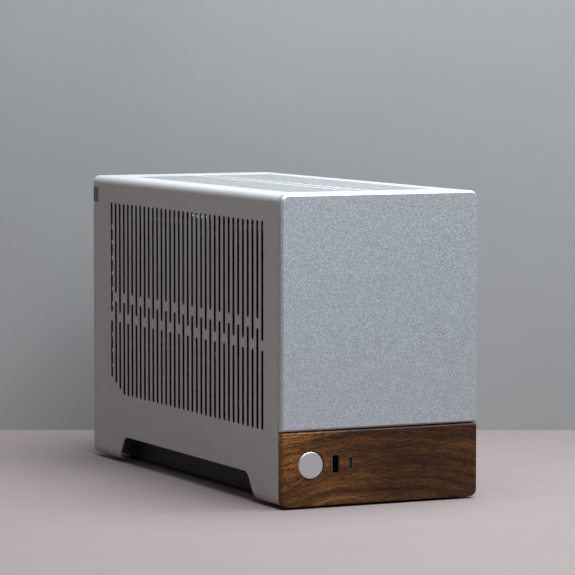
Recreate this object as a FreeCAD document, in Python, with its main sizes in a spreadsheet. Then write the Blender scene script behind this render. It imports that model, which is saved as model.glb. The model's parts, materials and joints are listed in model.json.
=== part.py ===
import FreeCAD, Part
import math
import os
import re

import Sketcher
from FreeCAD import Rotation, Vector

# Compact desktop computer tower: two slotted drop-down side doors, a slotted lift-off top,
# a front plate over a walnut fascia, and a spine that parts the board side from the card side.
# Millimetres. X runs from the left door to the right door, Y from front to back, Z up from
# the table. The origin is on the table, under the middle of the tower.

SIZES = {
    # the shell
    "case_width": (153, "over both doors"),
    "case_length": (343, "front face to the doors' rear edges"),
    "case_height": (218, "table to top"),
    "corner_radius": (5.5, "bend along each long edge of the shell"),
    "door_sheet": (1.0, "steel of the doors"),
    "top_sheet": (1.2, "steel of the top"),
    "seam": (0.3, "small gap between neighbouring pieces"),
    "front_seam": (0.8, "doors to the front plate"),
    "lid_seam": (0.5, "top to the doors' curls"),
    "ground_gap": (2.0, "doors above the table"),
    "top_return": (8.0, "how far each door curls over the top"),
    "bottom_return": (6.0, "how far each door curls under"),
    "lid_flange": (9.0, "turned-down edge of the top"),
    # the slots of the doors and the top
    "slot_pitch": (8.08, ""),
    "slot_width": (3.8, ""),
    "slot_rear_margin": (36.9, "rear edge to the first slot"),
    "slot_front_margin": (31.2, "front face to the last slot"),
    "slot_top_margin": (19.2, "top to the slots' upper ends"),
    "slot_bottom": (52.6, "lower ends"),
    "slot_step": (3.9, "rise of each of the three stepped lower slots"),
    "break_low": (111.5, "middle of the lower row of bridges"),
    "break_high": (126.6, "middle of the upper row of bridges"),
    "bridge": (6.2, "metal left between two slots of a column"),
    "lid_slot_rear": (42.5, "rear edge to the top's first slot"),
    "lid_slot_front": (34, "front face to the top's last slot"),
    "lid_slot_reach": (57, "slots of the top, out from the middle"),
    "lid_break": (6, "bridges of the top, off the middle"),
    # the cut-out between each door's feet
    "foot_height": (20.8, ""),
    "foot_rear": (47.5, "length of the rear foot on the table side"),
    "foot_front": (42.5, "front face to the front foot's end"),
    "foot_slope": (14.2, "run of the sloped ends"),
    "foot_round": (10, "radius at the top of the slopes"),
    # the front
    "front_thickness": (5.25, ""),
    "front_inset": (0.3, "front plate and fascia inside the doors' faces"),
    "front_edge": (1.3, "bevel of the front plate"),
    "fascia_low": (1.5, "walnut above the table"),
    "fascia_high": (53.4, ""),
    "fascia_edge": (0.8, "bevel of the walnut"),
    "fascia_corner": (5, "rounding of the walnut's lower corners"),
    "front_joint": (0.9, "shadow gap between plate and walnut"),
    # button and sockets
    "control_height": (30.3, "centre line of the button and sockets"),
    "button_x": (54, "button left of the middle"),
    "button_radius": (9.7, ""),
    "button_gap": (0.5, "button to walnut"),
    "button_travel": (1.2, ""),
    "button_depth": (4.6, "cap, front to back"),
    "usb_a_x": (34.8, ""),
    "usb_a_tall": (13.1, ""),
    "usb_a_wide": (5.7, ""),
    "usb_a_depth": (14, ""),
    "usb_c_x": (23.3, ""),
    "usb_c_tall": (8.94, ""),
    "usb_c_wide": (3.26, ""),
    "usb_c_depth": (10, ""),
    "socket_gap": (0.2, "sockets to walnut"),
    # frame
    "steel": (1.2, "sheet of the frame"),
    "floor_height": (24, "underside of the floor pan"),
    "rear_recess": (3.5, "doors' rear edges to the rear panel"),
    "frame_half": (66, "half width of the frame"),
    "frame_low": (8, "lower edge of the front and rear frames"),
    "skirt_low": (3, "lower edge of the floor pan's skirts"),
    "overcut": (1, "how far each cut runs past the metal"),
    "rail_width": (8, ""),
    "spine_x": (0.6, "board side face of the spine"),
    "foot_x": (52, "rubber feet off the middle"),
    "foot_y": (138, "rubber feet before and behind the middle"),
    "foot_pad": (4, "height of the rubber feet"),
    "foot_radius": (8, ""),
    # hinges and latches
    "hinge_y": (141, "hinges before and behind the middle"),
    "knuckle_length": (12, ""),
    "knuckle_radius": (2.8, ""),
    "pin_radius": (1.5, ""),
    "running_gap": (0.05, "pin to bore, radial"),
    "side_gap": (0.5, "knuckle to ear"),
    "leaf_high": (44, "top of the hinge leaves"),
    "rivet_low": (27.2, ""),
    "rivet_high": (37.8, ""),
    "rivet_radius": (1.6, ""),
    "rivet_gap": (0.25, "ring round each rivet"),
    "stud_y": (148, "ball studs before and behind the middle"),
    "stud_drop": (16, "ball studs below the top"),
    "ball_radius": (2.4, ""),
    "ball_gap": (0.4, "ball to its cup"),
    # the tab that each door is pulled by
    "tab_length": (9.9, ""),
    "tab_low": (19.6, "lower edge below the top"),
    "tab_high": (8.9, "upper edge below the top"),
    # board side
    "board_size": (170, "square board"),
    "board_low": (34, "board above the table"),
    "board_gap": (2.0, "board to the rear panel"),
    "board_thick": (1.6, ""),
    "standoff": (6.5, ""),
    "cooler_size": (92, "square fin pack and fan"),
    "cooler_base": (10, "block on the processor"),
    "fin_depth": (24, ""),
    "fan_depth": (15, ""),
    "fan_hub": (15, ""),
    "blade_gap": (1.5, "blades to frame"),
    # power supply
    "psu_long": (125, "along the case"),
    "psu_tall": (100, ""),
    "psu_wide": (63.5, ""),
    "psu_front_gap": (4, "front frame to the supply"),
    "psu_low": (90, "underside above the table"),
    "psu_spine_gap": (4, "spine to the supply"),
    "psu_sheet": (0.8, ""),
    "psu_fan_radius": (43, ""),
    # card side
    "card_long": (240, ""),
    "card_tall": (111, ""),
    "card_low": (72, "contact edge above the table"),
    "card_x": (8.6, "back of the card's board"),
    "slot_bay": (20.32, "pitch of the card brackets"),
    "card_fan_radius": (42, ""),
    "card_fan_pitch": (94, ""),
    "card_depth": (36, "board face to the shroud's face"),
    # small fittings
    "button_bevel": (0.8, "bright bevel round the cap"),
    "stem_radius": (2.5, ""),
    "guide_depth": (4, ""),
    "front_board_gap": (12, "front frame to the front board"),
    "shell_sheet": (0.4, "metal of the front sockets"),
    "vent_width": (6, ""),
    "vent_pitch": (11, ""),
    "clip_gap": (0.1, "lid clips to the top's flange"),
    "io_long": (158.75, "window for the board's rear sockets"),
    "io_wide": (44.45, ""),
    "bay_wide": (13, "opening for each card bracket"),
    "bay_tall": (92, ""),
    "inlet_wide": (28, ""),
    "inlet_tall": (20.4, ""),
    "socket_tall": (5, "processor socket"),
    "pipe_radius": (3, ""),
    "fin_pitch": (3.6, ""),
    "fin_sheet": (0.5, ""),
    "riser_long": (89, "card slot, riser and contact edge"),
    "rocker_wide": (9, ""),
    "rocker_long": (15, ""),
    "rocker_gap": (0.3, "rocker to its bezel"),
    "rocker_wall": (0.9, "bezel of the rocker"),
    "rocker_pivot": (1, "radius of the rocker's axle"),
    "cable_hole": (9, "radius of the spine's cable holes"),
    "column_gap": (0.4, "between two neighbouring card brackets"),
    "inlet_wall": (2, ""),
    "inlet_deep": (17, "mouth of each mains inlet"),
    "port_wall": (1.2, "metal of the rear sockets"),
    "port_gap": (0.3, "rear sockets to the shield"),
    "shield_edge": (2, "shield behind the rear panel's window"),
    "stem_proud": (2, "button's stem past its guide"),
    "guide_wall": (2.5, "collar round the button's stem, past the cap"),
    "switch_wide": (6, "square switch behind the button"),
    "switch_gap": (0.2, "plunger to the pressed button's stem"),
    "plunger_radius": (1.6, ""),
    "plunger_long": (1, "switch body to the plunger's tip"),
    "front_board_tall": (25, ""),
    "front_board_margin": (10, "front board past the button and the sockets"),
    "tongue_drop": (1.4, "front face to the type A tongue"),
    "tongue_thick": (1.5, "type A tongue"),
    "tongue_short": (3, "a tongue within its shell's height"),
    "slim_tongue": (0.7, "type C tongue"),
    "slim_tongue_drop": (1.5, "type C tongue inside its mouth"),
    "shell_back": (3, "solid rear end of both front sockets"),
    "usb_a_inset": (0.4, "type A shell inside the front face"),
    "usb_c_inset": (0.3, "type C shell inside the front face"),
    "vent_margin": (12, "vents to the sheet's edge"),
    "clip_long": (16, ""),
    "clip_tall": (5, ""),
    "cup_reach": (4, "latch cups out from the frame"),
    "cup_deep": (8, "latch cups in from the frame's side"),
    "cup_wide": (12, ""),
    "tab_sink": (0.1, "pull tab inside the door's face"),
    "tab_plate": (1, "wider plate behind the tab"),
    "cpu_from_rear": (64, "processor to the board's rear edge"),
    "cpu_up": (106, "processor above the board's lower edge"),
    "cpu_square": (46, "processor socket"),
    "block_square": (40, "cooler block"),
    "pipe_pitch": (10, ""),
    "fan_wall": (2, "fan frame round its opening"),
    "bar_deep": (2, "bars that carry the cooler fan's hub"),
    "bar_wide": (4, ""),
    "blade_thick": (1.2, ""),
    "post_radius": (3, "posts under the board"),
    "post_inset": (7, "posts in from the board's corners"),
    "small_post": (2, "radius of the posts at the front board"),
    "module_thick": (5, "memory module with its spreaders"),
    "module_deep": (29, ""),
    "module_long": (133, ""),
    "module_up": (92, "middle of the modules above the board's edge"),
    "module_pitch": (10, ""),
    "memory_socket_deep": (5, ""),
    "memory_socket_wide": (6.6, ""),
    "memory_socket_long": (142, ""),
    "card_socket_deep": (11, ""),
    "card_socket_wide": (7.5, ""),
    "power_socket_deep": (12, ""),
    "power_socket_long": (52, ""),
    "power_socket_wide": (9, ""),
    "rib_pitch": (6, "ribs of the board's small heatsinks"),
    "rib_thick": (2.4, ""),
    "edge_deep": (15, "card's contact edge below its board"),
    "chip_square": (34, ""),
    "chip_tall": (2, ""),
    "backplate": (1.2, ""),
    "stack_base": (3, "solid base of the card's fin stack"),
    "shroud_wall": (2, ""),
    "card_fan_hub": (14, ""),
    "card_fan_depth": (10, ""),
    "psu_fan_hub": (16, ""),
    "psu_fan_depth": (10, ""),
    "wire": (1.6, "rings of the supply's grille"),
    "pin_wide": (4, "inlet pins"),
    "pin_thick": (2, ""),
    "inlet_flange": (4, "rim of the rear inlet past its shell"),
    "inlet_proud": (1.5, "inlets outside the sheet they sit in"),
    "bezel_deep": (8, "rocker's bezel inside the supply"),
}

doc = FreeCAD.newDocument("Tower")
sheet = doc.addObject("Spreadsheet::Sheet", "Sizes")
for row, (alias, (number, note)) in enumerate(SIZES.items(), start=1):
    sheet.set(f"A{row}", alias)
    sheet.set(f"B{row}", str(number))
    sheet.set(f"C{row}", note)
    sheet.setAlias(f"B{row}", alias)
doc.recompute()

# Places that many pieces share, worked out from the sizes.
HALF = "(case_width / 2)"
FRONT = "(-case_length / 2)"
REAR = "(case_length / 2)"
PLATE_BACK = f"({FRONT} + front_thickness)"
DOOR_FRONT = f"({PLATE_BACK} + front_seam)"
FRAME_FRONT = f"({PLATE_BACK} + steel)"
FRAME_REAR = f"({REAR} - rear_recess - steel)"
LID_HALF = f"({HALF} - top_return - lid_seam)"
SKIRT = ("foot_x + foot_radius", "foot_x + foot_radius + steel")
HINGE_X = f"({HALF} - corner_radius)"
HINGE_Z = "(ground_gap + corner_radius)"
FLOOR_TOP = "(floor_height + steel)"
RAIL_TOP = "(case_height - top_sheet - seam)"
RAIL_LOW = f"({RAIL_TOP} - rail_width)"
SPINE_LEFT = "(spine_x)"
SPINE_RIGHT = "(spine_x + steel)"
BOARD_BACK = f"({SPINE_LEFT} - standoff)"
BOARD_FACE = f"({BOARD_BACK} - board_thick)"
BOARD_REAR = f"({FRAME_REAR} - board_gap)"
BOARD_FRONT = f"({BOARD_REAR} - board_size)"
BOARD_TOP = "(board_low + board_size)"
LEFT = -1
RIGHT = 1
SIDES = {"left": LEFT, "right": RIGHT}


def bound(text):
    """The same sum with each named size looked up in the sheet."""
    def look_up(word):
        return f"Sizes.{word[0]}" if word[0] in SIZES else word[0]
    return re.sub(r"[a-z_]{2,}", look_up, text)


def value(text):
    """What a sum of named sizes comes to."""
    return float(sheet.evalExpression(bound(text)))


def span(side, near, far):
    """Low and high X of a stretch given outward from the middle."""
    return (near, far) if side == RIGHT else (f"-({far})", f"-({near})")


def plus(place, size):
    """A stretch that starts at a place and has a size."""
    return (place, f"({place}) + ({size})")


def around(place, size):
    """A stretch centred on a place."""
    return (f"({place}) - ({size}) / 2", f"({place}) + ({size}) / 2")


# ---- primitives -------------------------------------------------------------------------

TURNED = {"X": Rotation(Vector(0, 1, 0), 90), "Y": Rotation(Vector(1, 0, 0), -90), "Z": Rotation()}
_names = {}


def unused(name):
    """A name for a working piece that no other has."""
    _names[name] = _names.get(name, 0) + 1
    return f"{name}_{_names[name]}"


def bind(piece, **sums):
    for key, text in sums.items():
        piece.setExpression(key.replace("__", "."), bound(text))
    return piece


def put(piece, centre):
    for axis, text in zip("xyz", centre):
        piece.setExpression(f"Placement.Base.{axis}", bound(text))
    return piece


def block(x, y, z):
    """A box between two sums on each axis."""
    piece = doc.addObject("Part::Box", unused("block"))
    sizes = [f"({high}) - ({low})" for low, high in (x, y, z)]
    bind(piece, Length=sizes[0], Width=sizes[1], Height=sizes[2])
    return put(piece, (x[0], y[0], z[0]))


def rod(axis, start, radius, length):
    """A cylinder that starts at a point and runs along +axis."""
    piece = doc.addObject("Part::Cylinder", unused("rod"))
    piece.Placement.Rotation = TURNED[axis]
    bind(piece, Radius=radius, Height=length)
    return put(piece, start)


def ball(centre, radius):
    """A sphere whose seam faces along the case, clear of a neck that runs across it."""
    piece = doc.addObject("Part::Sphere", unused("ball"))
    piece.Placement.Rotation = Rotation(Vector(0, 0, 1), 90)
    bind(piece, Radius=radius)
    return put(piece, centre)


def fused(pieces):
    if len(pieces) == 1:
        return pieces[0]
    piece = doc.addObject("Part::MultiFuse", unused("fused"))
    piece.Shapes = list(pieces)
    return piece


def cut(base, *tools):
    piece = doc.addObject("Part::Cut", unused("cut"))
    piece.Base = base
    piece.Tool = fused(tools)
    return piece


def group(pieces):
    """Separate solids kept together as one sub-part."""
    piece = doc.addObject("Part::Compound", unused("group"))
    piece.Links = list(pieces)
    return piece


def tube(axis, start, radius, bore, length):
    return cut(rod(axis, start, radius, length), rod(axis, start, bore, length))


SUBPARTS = []


def subpart(label, piece):
    piece.Label = label
    SUBPARTS.append(piece)
    return piece


# ---- bodies with sketches ----------------------------------------------------------------

THROUGH_ALL = 1


def new_body(label):
    body = doc.addObject("PartDesign::Body", label)
    SUBPARTS.append(body)
    return body


def new_sketch(body, role, offset="0"):
    """A sketch on one of the body's origin planes, moved along the plane's normal."""
    sketch = body.newObject("Sketcher::SketchObject", unused(body.Name + "_sketch"))
    plane = [item for item in body.Origin.OriginFeatures if item.Role == role][0]
    sketch.AttachmentSupport = [(plane, "")]
    sketch.MapMode = "FlatFace"
    sketch.setExpression("AttachmentOffset.Base.z", bound(offset))
    return sketch


def pin_point(sketch, geometry, point, place):
    for kind, text in zip(("DistanceX", "DistanceY"), place):
        number = sketch.addConstraint(Sketcher.Constraint(kind, -1, 1, geometry, point, value(text)))
        sketch.setExpression(f"Constraints[{number}]", bound(text))


def fix_radius(sketch, geometry, radius):
    number = sketch.addConstraint(Sketcher.Constraint("Radius", geometry, value(radius)))
    sketch.setExpression(f"Constraints[{number}]", bound(radius))


def draw_outline(sketch, corners):
    """A closed outline of straight lines, every corner bound to the sheet."""
    points = [Vector(value(across), value(up), 0) for across, up in corners]
    lines = [sketch.addGeometry(Part.LineSegment(points[i - 1], points[i])) for i in range(len(points))]
    for index, line in enumerate(lines):
        following = lines[(index + 1) % len(lines)]
        sketch.addConstraint(Sketcher.Constraint("Coincident", line, 2, following, 1))
        pin_point(sketch, line, 2, corners[index])


def draw_circle(sketch, centre, radius):
    place = Vector(value(centre[0]), value(centre[1]), 0)
    circle = sketch.addGeometry(Part.Circle(place, Vector(0, 0, 1), value(radius)))
    pin_point(sketch, circle, 3, centre)
    fix_radius(sketch, circle, radius)


def draw_slot(sketch, start, end, width):
    """A slot with round ends; start and end are the ends' tips."""
    radius = f"({width}) / 2"
    upright = value(start[0]) == value(end[0])
    if upright:
        centres = [(start[0], f"({start[1]}) + {radius}"), (end[0], f"({end[1]}) - {radius}")]
    else:
        centres = [(f"({start[0]}) + {radius}", start[1]), (f"({end[0]}) - {radius}", end[1])]
    points = [Vector(value(across), value(up), 0) for across, up in centres]
    turn = math.pi / 2 if upright else 0
    arcs = []
    for point, quarter in zip(points, (1, -1)):
        circle = Part.Circle(point, Vector(0, 0, 1), value(radius))
        begin = turn + quarter * math.pi / 2
        arcs.append(sketch.addGeometry(Part.ArcOfCircle(circle, begin, begin + math.pi)))
    ends = [(sketch.getPoint(arc, 1), sketch.getPoint(arc, 2)) for arc in arcs]
    for here, there in ((0, 1), (1, 0)):
        line = sketch.addGeometry(Part.LineSegment(ends[here][1], ends[there][0]))
        sketch.addConstraint(Sketcher.Constraint("Tangent", arcs[here], 2, line, 1))
        sketch.addConstraint(Sketcher.Constraint("Tangent", line, 2, arcs[there], 1))
    for arc, centre in zip(arcs, centres):
        pin_point(sketch, arc, 3, centre)
    fix_radius(sketch, arcs[0], radius)
    sketch.addConstraint(Sketcher.Constraint("Equal", arcs[0], arcs[1]))


def pad(body, sketch, length, backward=False):
    feature = body.newObject("PartDesign::Pad", unused(body.Name + "_pad"))
    feature.Profile = sketch
    feature.setExpression("Length", bound(length))
    feature.Reversed = backward
    doc.recompute()
    return feature


def pocket(body, sketch, backward=False):
    """A cut through everything on one side of the sketch."""
    feature = body.newObject("PartDesign::Pocket", unused(body.Name + "_pocket"))
    feature.Profile = sketch
    feature.Reversed = backward
    feature.Type = THROUGH_ALL
    doc.recompute()
    return feature


def edges_where(shape, test):
    """Names of the edges whose every sampled point passes the test."""
    names = []
    for index, edge in enumerate(shape.Edges, start=1):
        first, last = edge.ParameterRange
        points = [edge.valueAt(first + share * (last - first)) for share in (0, 0.5, 1)]
        if all(test(point) for point in points):
            names.append(f"Edge{index}")
    return names


def fillet(body, test, radius):
    base = body.Tip
    feature = body.newObject("PartDesign::Fillet", unused(body.Name + "_fillet"))
    feature.Base = (base, edges_where(base.Shape, test))
    feature.setExpression("Radius", bound(radius))
    doc.recompute()


def bevel(body, test, size):
    base = body.Tip
    feature = body.newObject("PartDesign::Chamfer", unused(body.Name + "_bevel"))
    feature.Base = (base, edges_where(base.Shape, test))
    feature.setExpression("Size", bound(size))
    doc.recompute()


def front_edges(point):
    return near(point.y, value(FRONT))


def near(one, other):
    return abs(one - other) < 1e-4


def along_line(first_axis, first, second_axis, second):
    """A test for the points of one straight edge, given its two fixed coordinates."""
    return lambda point: (near(getattr(point, first_axis), value(first))
                          and near(getattr(point, second_axis), value(second)))


def repeat(body, feature, role, pitch, count):
    """The feature repeated along an origin axis."""
    pattern = body.newObject("PartDesign::LinearPattern", unused(body.Name + "_pattern"))
    pattern.Originals = [feature]
    axis = [item for item in body.Origin.OriginFeatures if item.Role == role][0]
    pattern.Direction = (axis, [""])
    pattern.Reversed = True
    pattern.setExpression("Length", bound(f"({pitch}) * {count - 1}"))
    pattern.Occurrences = count
    body.Tip = pattern
    doc.recompute()


# ---- the shell ---------------------------------------------------------------------------

def slot_columns(rear, front):
    """How many slots of the pitch fit between two places along the case."""
    return int(value(f"(({rear}) - ({front})) / slot_pitch") + 0.5) + 1


SLOTS_REAR = f"({REAR} - slot_rear_margin)"
SLOTS_FRONT = f"({FRONT} + slot_front_margin)"
SLOTS_TOP = "(case_height - slot_top_margin)"


def door_slot_row(body, side, column, count, low, high):
    """Every second slot column from one column on, between two heights."""
    sketch = new_sketch(body, "YZ_Plane")
    place = f"{SLOTS_REAR} - {column} * slot_pitch"
    draw_slot(sketch, (place, low), (place, high), "slot_width")
    cutter = pocket(body, sketch, backward=side == RIGHT)
    if count > 1:
        repeat(body, cutter, "Y_Axis", "2 * slot_pitch", count)


def side_panel(name, side):
    """One door: a sheet curled in along its top and bottom edges."""
    body = new_body(f"side_panel_{name}")
    out = f"{side} * ({HALF})"
    skin = f"{side} * ({HALF} - door_sheet)"
    top_tip = f"{side} * ({HALF} - top_return)"
    low_tip = f"{side} * ({HALF} - bottom_return)"
    base = "ground_gap"
    profile = new_sketch(body, "XZ_Plane", f"-({DOOR_FRONT})")
    draw_outline(profile, [
        (out, base), (out, "case_height"),
        (top_tip, "case_height"), (top_tip, "case_height - door_sheet"),
        (skin, "case_height - door_sheet"), (skin, f"{base} + door_sheet"),
        (low_tip, f"{base} + door_sheet"), (low_tip, base),
    ])
    pad(body, profile, f"{REAR} - {DOOR_FRONT}", backward=True)
    for height in (base, "case_height"):
        fillet(body, along_line("x", out, "z", height), "corner_radius")
    for height in (f"{base} + door_sheet", "case_height - door_sheet"):
        fillet(body, along_line("x", skin, "z", height), "corner_radius - door_sheet")

    feet = new_sketch(body, "YZ_Plane")
    rear_end = f"{REAR} - foot_rear"
    front_end = f"{FRONT} + foot_front"
    draw_outline(feet, [
        (front_end, "0"), (f"{front_end} + foot_slope", "foot_height"),
        (f"{rear_end} - foot_slope", "foot_height"), (rear_end, "0"),
    ])
    pocket(body, feet, backward=side == RIGHT)
    for corner in (f"{front_end} + foot_slope", f"{rear_end} - foot_slope"):
        fillet(body, along_line("y", corner, "z", "foot_height"), "foot_round")

    notch = new_sketch(body, "YZ_Plane")
    tab_front = f"{REAR} - tab_length - seam"
    tab_rear = f"{REAR} + overcut"
    notch_low = "case_height - tab_low - seam"
    notch_high = "case_height - tab_high + seam"
    draw_outline(notch, [
        (tab_front, notch_low), (tab_front, notch_high), (tab_rear, notch_high), (tab_rear, notch_low),
    ])
    pocket(body, notch, backward=side == RIGHT)

    holes = new_sketch(body, "YZ_Plane")
    for height in ("rivet_low", "rivet_high"):
        draw_circle(holes, ("hinge_y", height), "rivet_radius + rivet_gap")
    pocket(body, holes, backward=side == RIGHT)

    # Two interleaved families of slot columns, each broken by a bridge at its own height.
    columns = slot_columns(SLOTS_REAR, SLOTS_FRONT)
    stepped = 3
    for start, middle in ((0, "break_low"), (1, "break_high")):
        door_slot_row(body, side, start, (columns - start + 1) // 2, f"{middle} + bridge / 2", SLOTS_TOP)
        plain = start if start >= stepped else start + 2 * math.ceil((stepped - start) / 2)
        door_slot_row(body, side, plain, (columns - plain + 1) // 2, "slot_bottom", f"{middle} - bridge / 2")
    for column in range(stepped):
        middle = "break_low" if column % 2 == 0 else "break_high"
        low = f"slot_bottom + {stepped - column} * slot_step"
        door_slot_row(body, side, column, 1, low, f"{middle} - bridge / 2")
    return body


def top_panel():
    """The lift-off top: a shallow inverted channel between the two doors' curls."""
    body = new_body("top_panel")
    flange_low = "case_height - lid_flange"
    skin = "case_height - top_sheet"
    inner = f"{LID_HALF} - top_sheet"
    front = f"{FRONT} + front_edge + seam"
    first = f"{REAR} - lid_slot_rear"
    profile = new_sketch(body, "XZ_Plane", f"-({DOOR_FRONT} + top_sheet)")
    draw_outline(profile, [
        (f"-{LID_HALF}", flange_low), (f"-{LID_HALF}", "case_height"), (LID_HALF, "case_height"),
        (LID_HALF, flange_low), (inner, flange_low), (inner, skin), (f"-({inner})", skin),
        (f"-({inner})", flange_low),
    ])
    pad(body, profile, f"{REAR} - ({DOOR_FRONT} + top_sheet)", backward=True)
    nose = new_sketch(body, "XY_Plane", skin)
    draw_outline(nose, [
        (f"-{LID_HALF}", front), (LID_HALF, front),
        (LID_HALF, f"{DOOR_FRONT} + top_sheet"), (f"-{LID_HALF}", f"{DOOR_FRONT} + top_sheet"),
    ])
    pad(body, nose, "top_sheet")

    columns = slot_columns(first, f"{FRONT} + lid_slot_front")
    for start, side in ((0, LEFT), (1, RIGHT)):
        middle = f"{side} * lid_break"
        place = f"{first} - {start} * slot_pitch"
        rows = [("-lid_slot_reach", f"{middle} - bridge / 2"),
                (f"{middle} + bridge / 2", "lid_slot_reach")]
        for low, high in rows:
            sketch = new_sketch(body, "XY_Plane", flange_low)
            draw_slot(sketch, (low, place), (high, place), "slot_width")
            cutter = pocket(body, sketch, backward=True)
            repeat(body, cutter, "Y_Axis", "2 * slot_pitch", (columns - start + 1) // 2)
    return body


def front_plate():
    """The thick front plate, rebated along its top edge for the top panel."""
    body = new_body("front_plate")
    wide = f"({HALF} - front_inset)"
    low = "fascia_high + front_joint"
    profile = new_sketch(body, "XZ_Plane", f"-({PLATE_BACK})")
    draw_outline(profile, [(f"-{wide}", low), (wide, low),
                           (wide, "case_height"), (f"-{wide}", "case_height")])
    pad(body, profile, "front_thickness")
    for side in (LEFT, RIGHT):
        fillet(body, along_line("x", f"{side} * {wide}", "z", "case_height"), "corner_radius")
    bevel(body, front_edges, "front_edge")
    rebate = new_sketch(body, "XY_Plane", "case_height - top_sheet - seam")
    half = f"{LID_HALF} + lid_seam"
    draw_outline(rebate, [
        (f"-({half})", f"{FRONT} + front_edge"), (half, f"{FRONT} + front_edge"),
        (half, f"{PLATE_BACK} + overcut"), (f"-({half})", f"{PLATE_BACK} + overcut"),
    ])
    pocket(body, rebate, backward=True)
    return body


def wood_front():
    """The walnut fascia with the button's hole and the two sockets' slots."""
    body = new_body("wood_front")
    wide = f"({HALF} - front_inset)"
    profile = new_sketch(body, "XZ_Plane", f"-({PLATE_BACK})")
    draw_outline(profile, [(f"-{wide}", "fascia_low"), (wide, "fascia_low"),
                           (wide, "fascia_high"), (f"-{wide}", "fascia_high")])
    pad(body, profile, "front_thickness")
    for side in (LEFT, RIGHT):
        fillet(body, along_line("x", f"{side} * {wide}", "z", "fascia_low"), "fascia_corner")
    bevel(body, front_edges, "fascia_edge")
    holes = new_sketch(body, "XZ_Plane", f"-({PLATE_BACK})")
    draw_circle(holes, ("-button_x", "control_height"), "button_radius + button_gap")
    sockets = (("-usb_a_x", "usb_a_tall", "usb_a_wide"), ("-usb_c_x", "usb_c_tall", "usb_c_wide"))
    for middle, tall, wide_size in sockets:
        width = f"{wide_size} + 2 * socket_gap"
        low, high = around("control_height", f"{tall} + 2 * socket_gap")
        if middle == "-usb_c_x":
            draw_slot(holes, (middle, low), (middle, high), width)
        else:
            left, right = around(middle, width)
            draw_outline(holes, [(left, low), (right, low), (right, high), (left, high)])
    pocket(body, holes, backward=True)
    return body


# ---- button and front sockets ------------------------------------------------------------

BOARD_PLANE = f"({FRAME_FRONT} + front_board_gap)"
STEM_END = f"({FRAME_FRONT} + guide_depth + stem_proud)"


def turned(label, axis, place, profile):
    """A turned piece: its half profile (radius, along) swept round and laid along an axis."""
    body = new_body(label)
    sketch = new_sketch(body, "XY_Plane")
    draw_outline(sketch, profile)
    feature = body.newObject("PartDesign::Revolution", unused(label + "_turn"))
    feature.Profile = sketch
    feature.ReferenceAxis = (sketch, ["V_Axis"])
    feature.Angle = 360
    doc.recompute()
    body.Placement.Rotation = {"X": Rotation(Vector(0, 0, 1), -90), "Y": Rotation(),
                               "Z": Rotation(Vector(1, 0, 0), 90)}[axis]
    return put(body, place)


def power_button():
    """The aluminium cap with a bevelled rim and its stem."""
    stem_length = f"{STEM_END} - {FRONT}"
    turned("power_button", "Y", ("-button_x", FRONT, "control_height"), [
        ("0", "0"), ("button_radius - button_bevel", "0"), ("button_radius", "button_bevel"),
        ("button_radius", "button_depth"), ("stem_radius", "button_depth"),
        ("stem_radius", stem_length), ("0", stem_length),
    ])


def button_guide():
    """The collar behind the frame that the button's stem runs in."""
    place = ("-button_x", FRAME_FRONT, "control_height")
    outer = "button_radius + guide_wall"
    subpart("button_guide", tube("Y", place, outer, "stem_radius + running_gap", "guide_depth"))


def power_switch():
    """The switch on the front board, its plunger just clear of the button's stem."""
    front = f"{STEM_END} + button_travel + switch_gap"
    body = block(around("-button_x", "switch_wide"), (f"{front} + plunger_long", BOARD_PLANE),
                 around("control_height", "switch_wide"))
    plunger = rod("Y", ("-button_x", front, "control_height"), "plunger_radius", "1.5 * plunger_long")
    subpart("power_switch", fused([body, plunger]))


def front_board():
    across = ("-button_x - front_board_margin", "-usb_c_x + front_board_margin - 1")
    subpart("front_board", block(across, plus(BOARD_PLANE, "board_thick"),
                                 around("control_height", "front_board_tall")))


def usb_a_port():
    """A metal shell with a tongue inside."""
    across = around("-usb_a_x", "usb_a_wide")
    tall = around("control_height", "usb_a_tall")
    shell = block(across, (f"{FRONT} + usb_a_inset", BOARD_PLANE), tall)
    room = block(around("-usb_a_x", "usb_a_wide - 2 * shell_sheet"),
                 (f"{FRONT} - overcut", f"{BOARD_PLANE} - shell_back"),
                 around("control_height", "usb_a_tall - 2 * shell_sheet"))
    tongue = block(plus("-usb_a_x + shell_sheet / 2", "tongue_thick"),
                   (f"{FRONT} + tongue_drop", f"{BOARD_PLANE} - shell_back + shell_sheet"),
                   around("control_height", "usb_a_tall - tongue_short"))
    subpart("usb_a_port", fused([cut(shell, room), tongue]))


def usb_c_port():
    """A round-ended metal shell with a thin tongue."""
    body = new_body("usb_c_port")
    outline = new_sketch(body, "XZ_Plane", f"-({BOARD_PLANE})")
    low, high = around("control_height", "usb_c_tall")
    draw_slot(outline, ("-usb_c_x", low), ("-usb_c_x", high), "usb_c_wide")
    pad(body, outline, f"{BOARD_PLANE} - {FRONT} - usb_c_inset")
    room = new_sketch(body, "XZ_Plane", f"-({BOARD_PLANE} - shell_back)")
    low, high = around("control_height", "usb_c_tall - 2 * shell_sheet")
    draw_slot(room, ("-usb_c_x", low), ("-usb_c_x", high), "usb_c_wide - 2 * shell_sheet")
    pocket(body, room, backward=True)
    tongue = new_sketch(body, "XZ_Plane", f"-({BOARD_PLANE} - shell_back)")
    low, high = around("control_height", "usb_c_tall - tongue_short")
    left, right = around("-usb_c_x", "slim_tongue")
    draw_outline(tongue, [(left, low), (right, low), (right, high), (left, high)])
    pad(body, tongue, f"{BOARD_PLANE} - {FRONT} - shell_back - slim_tongue_drop")


# ---- the frame ---------------------------------------------------------------------------

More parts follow.
